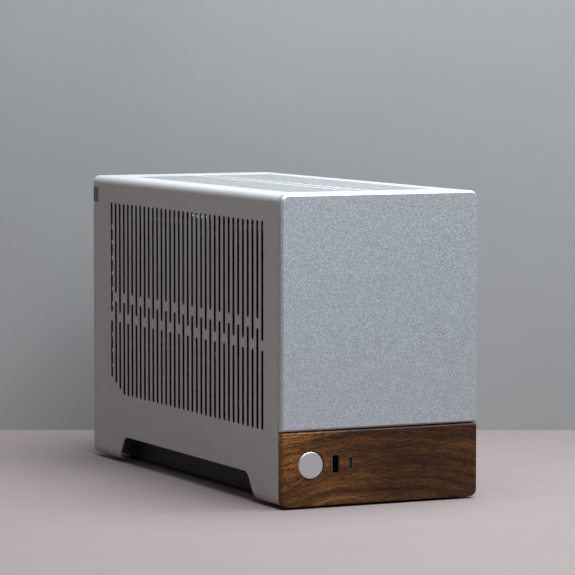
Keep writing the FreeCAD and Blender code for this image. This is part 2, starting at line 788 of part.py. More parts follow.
ACROSS = ("-frame_half", "frame_half")
WIDE_ACROSS = (f"-({HALF} - door_sheet - 1)", f"{HALF} - door_sheet - 1")
WIDE_Z = ("floor_height + 2", "case_height - lid_flange - seam")
SHIELD_X = (f"{BOARD_FACE} - io_wide + 2.5", f"{BOARD_FACE} + 2.5")
SHIELD_Z = ("board_low + 3", "board_low + 3 + io_long")
INLET_X = "(slot_bay * 1.6)"
INLET_Z = f"({FLOOR_TOP} + 21)"
BAYS = 3


def bay_middle(bay):
    return f"(card_x + slot_bay * {bay} + 6)"


def front_frame():
    """The sheet behind the front plate and the fascia."""
    along = (PLATE_BACK, FRAME_FRONT)
    outer = fused([block(ACROSS, along, ("frame_low", RAIL_TOP)), block(WIDE_ACROSS, along, WIDE_Z)])
    through = (f"{PLATE_BACK} - overcut", f"{FRAME_FRONT} + overcut")
    place = ("-button_x", through[0], "control_height")
    holes = [rod("Y", place, "button_radius + button_gap", "steel + 2 * overcut")]
    sockets = (("-usb_a_x", "usb_a_wide", "usb_a_tall"), ("-usb_c_x", "usb_c_wide", "usb_c_tall"))
    for place, wide, tall in sockets:
        holes.append(block(around(place, f"{wide} + 4 * socket_gap"), through,
                           around("control_height", f"{tall} + 4 * socket_gap")))
    for step in range(-5, 6):
        holes.append(block(around(f"{step} * vent_pitch", "vent_width"), through,
                           ("fascia_high + vent_margin + 4", f"{RAIL_LOW} - vent_margin")))
    subpart("front_frame", cut(outer, *holes))


def rear_panel():
    """The sheet that the board's sockets, the card and the mains inlet come out of."""
    along = plus(FRAME_REAR, "steel")
    outer = fused([block(ACROSS, along, ("frame_low", RAIL_TOP)), block(WIDE_ACROSS, along, WIDE_Z)])
    through = (f"{FRAME_REAR} - overcut", f"{FRAME_REAR} + steel + overcut")
    holes = [block(SHIELD_X, through, SHIELD_Z)]
    for bay in range(BAYS):
        across = around(bay_middle(bay), "bay_wide")
        holes.append(block(across, through, plus("card_low + 12", "bay_tall")))
    holes.append(block(around(INLET_X, "inlet_wide"), through, around(INLET_Z, "inlet_tall")))
    for step in range(12):
        height = f"board_low + vent_margin + {step} * 2 * vent_width"
        place = ("-frame_half + 1", through[0], height)
        holes.append(rod("Y", place, "vent_width / 2", "steel + 2 * overcut"))
    subpart("rear_panel", cut(outer, *holes))


def floor_pan():
    """The floor, turned down into a skirt along both sides and notched for the front board."""
    notch_end = f"{BOARD_PLANE} + board_thick + 4"
    sheet_piece = block(ACROSS, (FRAME_FRONT, FRAME_REAR), ("floor_height", FLOOR_TOP))
    skirts = [block(span(side, *SKIRT), (notch_end, FRAME_REAR), ("skirt_low", "floor_height"))
              for side in (LEFT, RIGHT)]
    through = ("floor_height - overcut", f"{FLOOR_TOP} + overcut")
    notch = block(("-frame_half - overcut", "-usb_c_x + front_board_margin + 1"),
                  (f"{FRAME_FRONT} - overcut", notch_end), through)
    first = f"{notch_end} + 5 * vent_width"
    count = int(value(f"({FRAME_REAR} - 5 * vent_width - ({first})) / (2 * vent_width)"))
    vents = []
    for step in range(count):
        place = f"{first} + {step} * 2 * vent_width"
        for side in (LEFT, RIGHT):
            vents.append(block(span(side, "2 * vent_width", "frame_half - 4 * vent_width"),
                               plus(place, "vent_width"), through))
    subpart("floor_pan", cut(fused([sheet_piece, *skirts]), notch, *vents))


def top_rails():
    """Two angles that tie the front and rear sheets along the top."""
    pieces = []
    for side in (LEFT, RIGHT):
        upright = block(span(side, "frame_half - steel", "frame_half"), (FRAME_FRONT, FRAME_REAR),
                        (RAIL_LOW, RAIL_TOP))
        ledge = block(span(side, "frame_half - rail_width", "frame_half - steel"), (FRAME_FRONT, FRAME_REAR),
                      (f"{RAIL_TOP} - steel", RAIL_TOP))
        pieces.append(fused([upright, ledge]))
    subpart("top_rails", group(pieces))


def lid_clips():
    """Four sprung clips on the rails that the top's flanges snap over."""
    outer = f"{LID_HALF} - top_sheet - clip_gap"
    pieces = [block(span(side, "frame_half", outer), around(f"{end} * stud_y * 0.8", "clip_long"),
                    plus(f"{RAIL_LOW} + 2", "clip_tall"))
              for side in (LEFT, RIGHT) for end in (-1, 1)]
    subpart("lid_clips", group(pieces))


def spine():
    """The sheet down the middle that parts the board side from the card side."""
    outer = block((SPINE_LEFT, SPINE_RIGHT), (FRAME_FRONT, FRAME_REAR), (FLOOR_TOP, f"{RAIL_LOW} - 2"))
    through = (f"{SPINE_LEFT} - overcut", f"{SPINE_RIGHT} + overcut")
    holes = [block(through, (f"{RISER_Y[0]} - 1", f"{RISER_Y[1]} + 1"),
                   (f"{FLOOR_TOP} + 1.5", "board_low - 1.5"))]
    for height in ("psu_low - 24", "psu_low + psu_tall + 14"):
        place = (through[0], f"{BOARD_FRONT} - 16", height)
        holes.append(rod("X", place, "cable_hole", "steel + 2 * overcut"))
    subpart("spine", cut(outer, *holes))


def feet():
    """Four folded legs under the floor, each on a rubber foot."""
    legs = []
    pads = []
    for side in (LEFT, RIGHT):
        for end in (-1, 1):
            place = (f"{side} * foot_x", f"{end} * foot_y")
            leg = block(around(place[0], "2 * foot_radius"), around(place[1], "2 * foot_radius"),
                        ("foot_pad", "floor_height"))
            room = block(around(place[0], "2 * foot_radius - 2 * steel"),
                         around(place[1], "2 * foot_radius + 2 * overcut"),
                         ("foot_pad + steel", "floor_height - steel"))
            legs.append(cut(leg, room))
            pads.append(rod("Z", (*place, "0"), "foot_radius", "foot_pad"))
    subpart("foot_legs", group(legs))
    subpart("rubber_feet", group(pads))


# ---- door hinges, latches and tabs -------------------------------------------------------

KNUCKLE_Y = [around(f"{end} * hinge_y", "knuckle_length") for end in (-1, 1)]
PIN_LONG = "knuckle_length + 2 * side_gap + 2 * steel"


def hinge_brackets():
    """Two ears at each hinge, hung from a plate under the floor."""
    pieces = []
    for side in (LEFT, RIGHT):
        across = f"{side} * {HINGE_X}"
        for low, high in KNUCKLE_Y:
            first = f"{low} - side_gap - steel"
            second = f"{high} + side_gap"
            parts = [block(span(side, SKIRT[1], HINGE_X), (first, f"{second} + steel"),
                           ("floor_height - steel", "floor_height"))]
            for start in (first, second):
                parts.append(block(around(across, "2 * knuckle_radius"), plus(start, "steel"),
                                   (HINGE_Z, "floor_height")))
                parts.append(rod("Y", (across, start, HINGE_Z), "knuckle_radius", "steel"))
            bore = rod("Y", (across, f"{first} - overcut", HINGE_Z), "pin_radius",
                       f"{PIN_LONG} + 2 * overcut")
            pieces.append(cut(fused(parts), bore))
    subpart("hinge_brackets", group(pieces))


def hinge_pins():
    """The doors' pins, fast in the ears."""
    pieces = [rod("Y", (f"{side} * {HINGE_X}", f"{low} - side_gap - steel", HINGE_Z), "pin_radius",
                  PIN_LONG)
              for side in (LEFT, RIGHT) for low, high in KNUCKLE_Y]
    subpart("hinge_pins", group(pieces))


def hinge_leaves(name, side):
    """On each door, two straps that end in the knuckles round the pins."""
    pieces = []
    across = span(side, f"{HINGE_X} + knuckle_radius - 0.6", f"{HALF} - door_sheet")
    for low, high in KNUCKLE_Y:
        strap = block(across, (low, high), (HINGE_Z, "leaf_high"))
        barrel = rod("Y", (f"{side} * {HINGE_X}", low, HINGE_Z), "knuckle_radius", "knuckle_length")
        bore = rod("Y", (f"{side} * {HINGE_X}", f"{low} - overcut", HINGE_Z), "pin_radius + running_gap",
                   "knuckle_length + 2 * overcut")
        pieces.append(cut(fused([strap, barrel]), bore))
    subpart(f"hinge_leaves_{name}", group(pieces))


def door_rivets(name, side):
    """Two flush rivets that hold the rear leaf to the door."""
    start = f"{HALF} - door_sheet" if side == RIGHT else f"-({HALF})"
    pieces = [rod("X", (start, "hinge_y", height), "rivet_radius", "door_sheet")
              for height in ("rivet_low", "rivet_high")]
    subpart(f"door_rivets_{name}", group(pieces))


STUD_Z = "(case_height - stud_drop)"
CUP_FACE = "(frame_half + cup_reach)"


def ball_studs(name, side):
    """Two ball-ended studs on the inside of each door."""
    pieces = []
    centre = f"{CUP_FACE} - ball_radius - 1"
    for end in (-1, 1):
        low, high = span(side, centre, f"{HALF} - door_sheet")
        neck = rod("X", (low, f"{end} * stud_y", STUD_Z), "ball_radius * 0.6", f"({high}) - ({low})")
        pieces.append(fused([neck, ball((f"{side} * ({centre})", f"{end} * stud_y", STUD_Z), "ball_radius")]))
    subpart(f"ball_studs_{name}", group(pieces))


def latch_cups():
    """Four cups on the frame that the ball studs snap into."""
    pieces = []
    for side in (LEFT, RIGHT):
        for end in (-1, 1):
            along = f"{end} * stud_y"
            cup = block(span(side, "frame_half - cup_deep", CUP_FACE), around(along, "cup_wide"),
                        (f"{STUD_Z} - cup_wide / 2", f"{STUD_Z} + 5"))
            low, high = span(side, f"{CUP_FACE} - 2 * ball_radius - 2", f"{CUP_FACE} + overcut")
            bore = rod("X", (low, along, STUD_Z), "ball_radius + ball_gap", f"({high}) - ({low})")
            pieces.append(cut(cup, bore))
    subpart("latch_cups", group(pieces))


def pull_tab(name, side):
    """The tab in a notch of the door's rear edge, backed by a wider plate."""
    tall = ("case_height - tab_low", "case_height - tab_high")
    skin = f"{HALF} - door_sheet"
    face = block(span(side, skin, f"{HALF} - tab_sink"), (f"{REAR} - tab_length", REAR), tall)
    back = block(span(side, f"{skin} - tab_plate", skin), (f"{REAR} - tab_length - 4", REAR),
                 (f"{tall[0]} - 3", f"{tall[1]} + 2"))
    subpart(f"pull_tab_{name}", fused([face, back]))


# ---- board side --------------------------------------------------------------------------

CPU_Y = f"({BOARD_REAR} - cpu_from_rear)"
CPU_Z = "(board_low + cpu_up)"
SOCKET_FACE = f"({BOARD_FACE} - socket_tall)"
BASE_FACE = f"({SOCKET_FACE} - cooler_base)"
FINS_BACK = f"({BASE_FACE} - 2 * pipe_radius)"
FINS_FACE = f"({FINS_BACK} - fin_depth)"
FAN_FACE = f"({FINS_FACE} - fan_depth)"
CARD_SLOT_Z = "(board_low + 8)"
RISER_Y = (f"({BOARD_REAR} - 52 - riser_long)", f"({BOARD_REAR} - 52)")


def motherboard():
    subpart("motherboard", block((BOARD_FACE, BOARD_BACK), (BOARD_FRONT, BOARD_REAR),
                                 ("board_low", BOARD_TOP)))


def standoffs():
    """Posts between the spine and the board, and between the front frame and its board."""
    posts = [rod("X", (BOARD_BACK, along, height), "post_radius", "standoff")
             for along in (f"{BOARD_REAR} - post_inset", f"{BOARD_FRONT} + post_inset")
             for height in ("board_low + post_inset", f"{BOARD_TOP} - post_inset")]
    for across, height in ((-6, -10), (-6, 10), (6, 0)):
        place = (f"-usb_c_x + {across}", FRAME_FRONT, f"control_height + {height}")
        posts.append(rod("Y", place, "small_post", "front_board_gap"))
    subpart("standoffs", group(posts))


# The rear sockets: each one's lower end above the board's edge, its height and its depth.
PORTS = ((8, 16, 14), (30, 18, 15), (54, 18, 15), (78, 16, 13), (98, 16, 13), (120, 30, 9))


def io_ports():
    """The board's rear sockets, each with a shallow mouth."""
    pieces = []
    along = (f"{BOARD_REAR} - 20", f"{FRAME_REAR} + steel")
    for low, tall, deep in PORTS:
        height = plus(f"board_low + {low}", tall)
        body = block((f"{BOARD_FACE} - {deep}", BOARD_FACE), along, height)
        mouth = block((f"{BOARD_FACE} - {deep} + port_wall", f"{BOARD_FACE} - port_wall"),
                      (f"{FRAME_REAR} + steel - 3", f"{FRAME_REAR} + steel + overcut"),
                      (f"{height[0]} + port_wall", f"{height[1]} - port_wall"))
        pieces.append(cut(body, mouth))
    subpart("io_ports", group(pieces))


def io_shield():
    """The thin plate behind the rear panel's window, cut round each socket."""
    outer = block((f"{SHIELD_X[0]} - shield_edge", f"{SHIELD_X[1]} + shield_edge"),
                  (f"{FRAME_REAR} - psu_sheet", FRAME_REAR),
                  (f"{SHIELD_Z[0]} - shield_edge", f"{SHIELD_Z[1]} + shield_edge"))
    through = (f"{FRAME_REAR} - psu_sheet - overcut", f"{FRAME_REAR} + overcut")
    holes = [block((f"{BOARD_FACE} - {deep} - port_gap", f"{BOARD_FACE} + port_gap"), through,
                   (f"board_low + {low} - port_gap", f"board_low + {low} + {tall} + port_gap"))
             for low, tall, deep in PORTS]
    subpart("io_shield", cut(outer, *holes))


def processor():
    """The socket frame with the processor's lid in it."""
    subpart("cpu_socket", block((SOCKET_FACE, BOARD_FACE), around(CPU_Y, "cpu_square"),
                                around(CPU_Z, "cpu_square + 2")))


def cooler_base():
    """A block on the processor and the flat heat pipes on it."""
    subpart("cooler_block", block((BASE_FACE, SOCKET_FACE), around(CPU_Y, "block_square"),
                                  around(CPU_Z, "block_square")))
    pipes = [rod("Y", (f"{FINS_BACK} + pipe_radius", f"{CPU_Y} - cooler_size / 2 + 4",
                       f"{CPU_Z} + {step} * pipe_pitch"), "pipe_radius", "cooler_size - 8")
             for step in (-1, 0, 1)]
    subpart("heat_pipes", group(pipes))


def cooler_fins():
    """A stack of fins tied together along their backs."""
    first = f"{CPU_Y} - cooler_size / 2"
    fins = [block((FINS_FACE, FINS_BACK), plus(f"{first} + {step} * fin_pitch", "fin_sheet"),
                  around(CPU_Z, "cooler_size"))
            for step in range(int(value("cooler_size / fin_pitch")))]
    ties = [block((f"{FINS_BACK} - 1", FINS_BACK), around(CPU_Y, "cooler_size"),
                  plus(f"{CPU_Z} + {place}", "4"))
            for place in (-18, 14)]
    subpart("cooler_fins", fused(fins + ties))


def cooler_fan_frame():
    """The slim fan's square frame, with two crossed bars behind its hub."""
    opening = rod("X", (f"{FAN_FACE} - overcut", CPU_Y, CPU_Z), "cooler_size / 2 - fan_wall",
                  "fan_depth + 2 * overcut")
    ring = cut(block((FAN_FACE, FINS_FACE), around(CPU_Y, "cooler_size"), around(CPU_Z, "cooler_size")),
               opening)
    deep = (f"{FINS_FACE} - bar_deep", FINS_FACE)
    long = "cooler_size - 3"
    bars = [block(deep, around(CPU_Y, long), around(CPU_Z, "bar_wide")),
            block(deep, around(CPU_Y, "bar_wide"), around(CPU_Z, long)),
            rod("X", (deep[0], CPU_Y, CPU_Z), "fan_hub", "bar_deep")]
    subpart("cooler_fan_frame", fused([ring, *bars]))


BLADE_RAKE = 32


def fan_rotor(label, place, hub, tip, depth, blades):
    """A hub with raked blades, about the X axis."""
    pieces = [rod("X", place, hub, depth)]
    rake = Rotation(Vector(0, 0, 1), BLADE_RAKE)
    for step in range(blades):
        blade = doc.addObject("Part::Box", unused("blade"))
        bind(blade, Length=f"({depth}) * 0.9", Width="blade_thick", Height=f"({tip}) - ({hub}) + 2")
        turn = Rotation(Vector(1, 0, 0), 360 * step / blades)
        centre = Vector(*(value(text) for text in place))
        offset = turn.multVec(Vector(value(depth) * 0.12, -value(depth) * 0.28, value(hub) - 2))
        blade.Placement = FreeCAD.Placement(centre + offset, turn * rake)
        pieces.append(blade)
    limit = rod("X", place, tip, depth)
    both = doc.addObject("Part::Common", unused("rotor"))
    both.Base = fused(pieces)
    both.Tool = limit
    subpart(label, both)


MODULES = [f"{BOARD_FRONT} + 8 + {step} * module_pitch" for step in (0, 1)]


def memory():
    """Two modules upright in their sockets along the board's front edge."""
    across = (f"{BOARD_FACE} - memory_socket_deep - module_deep", f"{BOARD_FACE} - memory_socket_deep")
    pieces = [block(across, plus(place, "module_thick"), around("board_low + module_up", "module_long"))
              for place in MODULES]
    subpart("memory_modules", group(pieces))


def board_sockets():
    """Black sockets on the board: memory, card and power."""
    margin = "(memory_socket_wide - module_thick) / 2"
    pieces = [block((f"{BOARD_FACE} - memory_socket_deep", BOARD_FACE),
                    plus(f"{place} - {margin}", "memory_socket_wide"),
                    around("board_low + module_up", "memory_socket_long")) for place in MODULES]
    pieces.append(block((f"{BOARD_FACE} - card_socket_deep", BOARD_FACE), RISER_Y,
                        around(CARD_SLOT_Z, "card_socket_wide")))
    pieces.append(block((f"{BOARD_FACE} - power_socket_deep", BOARD_FACE),
                        plus(f"{BOARD_FRONT} + 34", "power_socket_long"),
                        plus(f"{BOARD_TOP} - power_socket_wide - 3", "power_socket_wide")))
    subpart("board_sockets", group(pieces))


def small_heatsink(along, wide, low, tall):
    """A base with four ribs, at a place along and up the board."""
    floor = f"{BOARD_FACE} - {tall} * 0.4"
    base = block((floor, BOARD_FACE), plus(along, wide), plus(low, "4 * rib_pitch"))
    ribs = [block((f"{BOARD_FACE} - {tall}", floor), plus(along, wide),
                  plus(f"{low} + {step} * rib_pitch", "rib_thick")) for step in range(4)]
    return fused([base, *ribs])


def board_heatsinks():
    """Finned blocks over the power stages and the storage stick."""
    power = small_heatsink(f"{BOARD_REAR} - 38", 16, f"{CPU_Z} - 45", 18)
    storage = small_heatsink(f"{BOARD_REAR} - 110", 78, "board_low + 20", 8)
    subpart("board_heatsinks", group([power, storage]))


# ---- riser and card ----------------------------------------------------------------------

CARD_FACE = "(card_x + board_thick)"
CARD_REAR = f"({FRAME_REAR} - 1)"
CARD_FRONT = f"({CARD_REAR} - card_long)"
CARD_TOP = "(card_low + card_tall)"
FAN_BACK = f"({CARD_FACE} + card_depth - card_fan_depth - 1)"
CARD_FAN_Z = "(card_low + card_tall / 2 + 2)"
CARD_FANS = [f"{CARD_FRONT} + (card_long - 3) / 2 {sign} card_fan_pitch / 2" for sign in "-+"]
CONTACT_LOW = "(card_low - edge_deep)"


def riser_ribbon():
    """The flat ribbon that goes under the board's lower edge and up to the card's socket."""
    body = new_body("riser_ribbon")
    start = f"{BOARD_FACE} - 17.5"
    end = f"{CARD_FACE} - 1.4"
    low = f"{FLOOR_TOP} + 3.5"
    outline = new_sketch(body, "XZ_Plane", f"-({RISER_Y[0]})")
    draw_outline(outline, [
        (start, f"{CARD_SLOT_Z} - 5.75"), (start, low), (f"{end} + 1", low), (f"{end} + 1", "card_low - 21"),
        (end, "card_low - 21"), (end, f"{low} + 1"), (f"{start} + 1", f"{low} + 1"),
        (f"{start} + 1", f"{CARD_SLOT_Z} - 5.75"),
    ])
    pad(body, outline, f"{RISER_Y[1]} - {RISER_Y[0]}", backward=True)
    bends = ((start, low, "3"), (f"{end} + 1", low, "3"),
             (end, f"{low} + 1", "2"), (f"{start} + 1", f"{low} + 1", "2"))
    for across, up, bend in bends:
        fillet(body, along_line("x", across, "z", up), bend)


def riser_sockets():
    """The ribbon's plug on the board and its socket under the card."""
    plug = block((f"{BOARD_FACE} - 24", f"{BOARD_FACE} - 11"), RISER_Y, around(CARD_SLOT_Z, "11.5"))
    middle = "card_x + board_thick / 2"
    socket = block(around(middle, "9"), RISER_Y, (f"{CONTACT_LOW} - 6", "card_low - 7"))
    groove = block(around(middle, "board_thick"), RISER_Y, (CONTACT_LOW, "card_low"))
    subpart("riser_sockets", group([plug, cut(socket, groove)]))


def card_board():
    """The card's circuit board with its contact edge."""
    board = block(("card_x", CARD_FACE), (CARD_FRONT, CARD_REAR), ("card_low", CARD_TOP))
    edge = block(("card_x", CARD_FACE), RISER_Y, (CONTACT_LOW, "card_low"))
    chip = block(plus(CARD_FACE, "chip_tall"), around(f"{CARD_REAR} - 95", "chip_square"),
                 around("card_low + card_tall / 2", "chip_square"))
    subpart("card_board", fused([board, edge, chip]))


def card_backplate():
    subpart("card_backplate", block(("card_x - backplate", "card_x"),
                                    (f"{CARD_FRONT} + 2", f"{CARD_REAR} - 6"),
                                    ("card_low + 3", f"{CARD_TOP} - 2")))


def card_heatsink():
    """A base on the chip with a stack of upright fins."""
    tall = ("card_low + 8", f"{CARD_TOP} - 4")
    back = f"{CARD_FACE} + chip_tall"
    face = f"{back} + stack_base"
    first = f"{CARD_FRONT} + 4"
    base = block((back, face), (first, f"{CARD_REAR} - 8"), tall)
    fins = [block((face, f"{FAN_BACK} - 1"), plus(f"{first} + {step} * 2 * fin_pitch", "2 * fin_sheet"), tall)
            for step in range(int(value("(card_long - 16) / (2 * fin_pitch)")))]
    subpart("card_heatsink", fused([base, *fins]))


def card_shroud():
    """The cover over the fins, with its two fan openings."""
    face = f"{CARD_FACE} + card_depth"
    front = CARD_FRONT
    rear = f"{CARD_REAR} - 3"
    outer = block((f"{CARD_FACE} + 1", face), (front, rear), ("card_low + 2", f"{CARD_TOP} + 4"))
    room = block((CARD_FACE, f"{face} - shroud_wall"), (f"{front} + shroud_wall", f"{rear} - shroud_wall"),
                 ("card_low + 6", CARD_TOP))
    holes = [rod("X", (f"{face} - shroud_wall - overcut", place, CARD_FAN_Z),
                 "card_fan_radius + blade_gap", "shroud_wall + 2 * overcut") for place in CARD_FANS]
    subpart("card_shroud", cut(outer, room, *holes))


def card_bracket():
    """The card's steel bracket over two bays, and the cover of the bay left free."""
    for label, first, last in (("card_bracket", 0, 1), ("slot_cover", 2, 2)):
        left = f"{bay_middle(first)} - slot_bay / 2 + column_gap"
        right = f"{bay_middle(last)} + slot_bay / 2 - column_gap"
        plate = block((left, right), (CARD_REAR, FRAME_REAR),
                      ("card_low + 4", "card_low + 18 + bay_tall"))
        subpart(label, plate)


# ---- power supply and inlets -------------------------------------------------------------

PSU_RIGHT = f"({SPINE_LEFT} - psu_spine_gap)"
PSU_LEFT = f"({PSU_RIGHT} - psu_wide)"
PSU_Y = (f"({FRAME_FRONT} + psu_front_gap)", f"({FRAME_FRONT} + psu_front_gap + psu_long)")
PSU_Z = ("psu_low", "psu_low + psu_tall")
PSU_MIDDLE_Y = f"({PSU_Y[0]} + psu_long / 2)"
PSU_MIDDLE_Z = "(psu_low + psu_tall / 2)"
PSU_INLET = (f"({PSU_RIGHT} - psu_wide / 2)", f"({PSU_Y[0]} + 30)")
ROCKER = (f"({PSU_RIGHT} - psu_wide / 2)", f"({PSU_Y[0]} + 62)", "(psu_low + 2.2)")
BEZEL = (around(ROCKER[0], "rocker_wide + 2 * (rocker_gap + rocker_wall)"),
         around(ROCKER[1], "rocker_long + 2 * (rocker_gap + rocker_wall)"))


def psu_case():
    """The supply's folded case, open at the fan, the inlet and the switch."""
    outer = ((PSU_LEFT, PSU_RIGHT), PSU_Y, PSU_Z)
    inner = [(f"{low} + psu_sheet", f"{high} - psu_sheet") for low, high in outer]
    case = cut(block(*outer), block(*inner))
    fan = rod("X", (f"{PSU_LEFT} - overcut", PSU_MIDDLE_Y, PSU_MIDDLE_Z), "psu_fan_radius + blade_gap",
              "psu_sheet + 2 * overcut")
    through = ("psu_low - overcut", "psu_low + psu_sheet + overcut")
    inlet = block(around(PSU_INLET[0], "inlet_tall"), around(PSU_INLET[1], "inlet_wide"), through)
    switch = block(*BEZEL, through)
    subpart("psu_case", cut(case, fan, inlet, switch))


def psu_brackets():
    """Two angles that hold the supply to the spine."""
    pieces = [block((PSU_RIGHT, SPINE_LEFT), around(PSU_MIDDLE_Y, "60"), plus(height, "10"))
              for height in ("psu_low + 6", "psu_low + psu_tall - 16")]
    subpart("psu_brackets", group(pieces))


RING_SHARES = (0.3, 0.55, 0.8, 1.03)


def psu_grille():
    """Wire rings over the supply's fan, tied by two crossed wires."""
    back = f"{PSU_LEFT} - wire"
    centre = (back, PSU_MIDDLE_Y, PSU_MIDDLE_Z)
    parts = []
    for share in RING_SHARES:
        radius = f"psu_fan_radius * {share}"
        parts.append(tube("X", centre, f"{radius} + wire", radius, "wire"))
    reach = f"2 * psu_fan_radius * {RING_SHARES[-1]} + 8"
    for along, up in ((reach, "wire"), ("wire", reach)):
        parts.append(block((back, PSU_LEFT), around(PSU_MIDDLE_Y, along), around(PSU_MIDDLE_Z, up)))
    subpart("psu_grille", fused(parts))


PIN_SPOTS = ((-7, -2), (0, 2), (7, -2))


def rear_inlet():
    """The appliance inlet in the rear panel, its three pins short of the mouth."""
    outside = f"{FRAME_REAR} + steel + inlet_proud"
    bottom = f"{outside} - inlet_deep"
    shell = block(around(INLET_X, "inlet_wide"), (f"{bottom} - inlet_wall", outside),
                  around(INLET_Z, "inlet_tall"))
    flange = block(around(INLET_X, "inlet_wide + 2 * inlet_flange"), (f"{FRAME_REAR} + steel", outside),
                   around(INLET_Z, "inlet_tall + inlet_flange"))
    room = block(around(INLET_X, "inlet_wide - 2 * inlet_wall"), (bottom, f"{outside} + overcut"),
                 around(INLET_Z, "inlet_tall - 2 * inlet_wall"))
    pins = [block(around(f"{INLET_X} + {side}", "pin_thick"),
                  (f"{bottom} - inlet_wall / 2", f"{outside} - 5"),
                  around(f"{INLET_Z} + {up}", "pin_wide")) for side, up in PIN_SPOTS]
    subpart("rear_inlet", fused([cut(fused([shell, flange]), room), *pins]))


def psu_inlet():
    """The supply's own inlet, facing down, with the bezel that the rocker's axle turns in."""
    low = "psu_low - inlet_proud"
    top = f"{low} + inlet_deep"
    shell = block(around(PSU_INLET[0], "inlet_tall"), around(PSU_INLET[1], "inlet_wide"),
                  (low, f"{top} + inlet_wall"))
    room = block(around(PSU_INLET[0], "inlet_tall - 2 * inlet_wall"),
                 around(PSU_INLET[1], "inlet_wide - 2 * inlet_wall"), (f"{low} - overcut", top))
    pins = [block(around(f"{PSU_INLET[0]} + {side}", "pin_wide"),
                  around(f"{PSU_INLET[1]} + {along}", "pin_thick"),
                  ("psu_low + 4", f"{top} + inlet_wall / 2")) for along, side in PIN_SPOTS]
    bezel = block(*BEZEL, (low, "psu_low + bezel_deep"))
    gap = block(around(ROCKER[0], "rocker_wide + 2 * rocker_gap"),
                around(ROCKER[1], "rocker_long + 2 * rocker_gap"),
                (f"{low} - overcut", "psu_low + bezel_deep + overcut"))
    across = BEZEL[0]
    bore = rod("X", (f"{across[0]} - overcut", ROCKER[1], ROCKER[2]), "rocker_pivot + running_gap",
               f"({across[1]}) - ({across[0]}) + 2 * overcut")
    subpart("psu_inlet", group([fused([cut(shell, room), *pins]), cut(bezel, gap, bore)]))


def psu_rocker():
    """The two-way switch on its axle."""
    paddle = block(around(ROCKER[0], "rocker_wide"), around(ROCKER[1], "rocker_long - 2"),
                   (f"{ROCKER[2]} - 3.4", f"{ROCKER[2]} + 1.5"))
    axle_long = "rocker_wide + 2 * rocker_gap + 1.5 * rocker_wall"
    axle = rod("X", (f"{ROCKER[0]} - ({axle_long}) / 2", ROCKER[1], ROCKER[2]), "rocker_pivot", axle_long)
    subpart("psu_rocker", fused([paddle, axle]))


def build():
    for name, side in SIDES.items():
        side_panel(name, side)
        hinge_leaves(name, side)
        door_rivets(name, side)
        ball_studs(name, side)
        pull_tab(name, side)
    top_panel()
    front_plate()
    wood_front()
    power_button()
    button_guide()
    power_switch()
    front_board()
    usb_a_port()
    usb_c_port()
    front_frame()
    rear_panel()
    floor_pan()
    top_rails()
    lid_clips()
    spine()
    feet()
    hinge_brackets()
    hinge_pins()
    latch_cups()
    motherboard()
    standoffs()
    io_ports()
    io_shield()
    processor()
    cooler_base()
    cooler_fins()
    cooler_fan_frame()
    fan_rotor("cooler_fan_rotor", (f"{FAN_FACE} + 1", CPU_Y, CPU_Z), "fan_hub",
              "cooler_size / 2 - fan_wall - blade_gap", "fan_depth - 2 * bar_deep", 7)
    memory()
    board_sockets()
    board_heatsinks()
    riser_ribbon()
    riser_sockets()
    card_board()
    card_backplate()
    card_heatsink()
    card_shroud()
    for name, place in zip(("front", "rear"), CARD_FANS):
        fan_rotor(f"card_fan_{name}", (FAN_BACK, place, CARD_FAN_Z), "card_fan_hub",
                  "card_fan_radius", "card_fan_depth", 9)
    card_bracket()
    psu_case()
    psu_brackets()
    psu_grille()
    fan_rotor("psu_fan_rotor", (f"{PSU_LEFT} + psu_sheet + 0.7", PSU_MIDDLE_Y, PSU_MIDDLE_Z),
              "psu_fan_hub", "psu_fan_radius", "psu_fan_depth", 9)
    rear_inlet()
    psu_inlet()
    psu_rocker()


def check():
    """Refuses to write anything unless every feature and every sub-part is sound."""
    doc.recompute()
    for item in doc.Objects:
        if "Invalid" in item.State or "Error" in item.State:
            raise RuntimeError(f"{item.Name} did not build: {item.State}")
        if item.TypeId == "PartDesign::Pocket":
            removed = item.BaseFeature.Shape.Volume - item.Shape.Volume
            if removed < 1e-6:
                raise RuntimeError(f"{item.Name} cuts nothing")
    for item in SUBPARTS:
        if item.Shape.isNull() or not item.Shape.isValid():
            raise RuntimeError(f"{item.Label} has no sound shape")


def export():
    os.makedirs("parts", exist_ok=True)
    for item in SUBPARTS:
        item.Shape.exportStep(f"parts/{item.Label}.step")


build()
check()
export()
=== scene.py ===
import json
import math

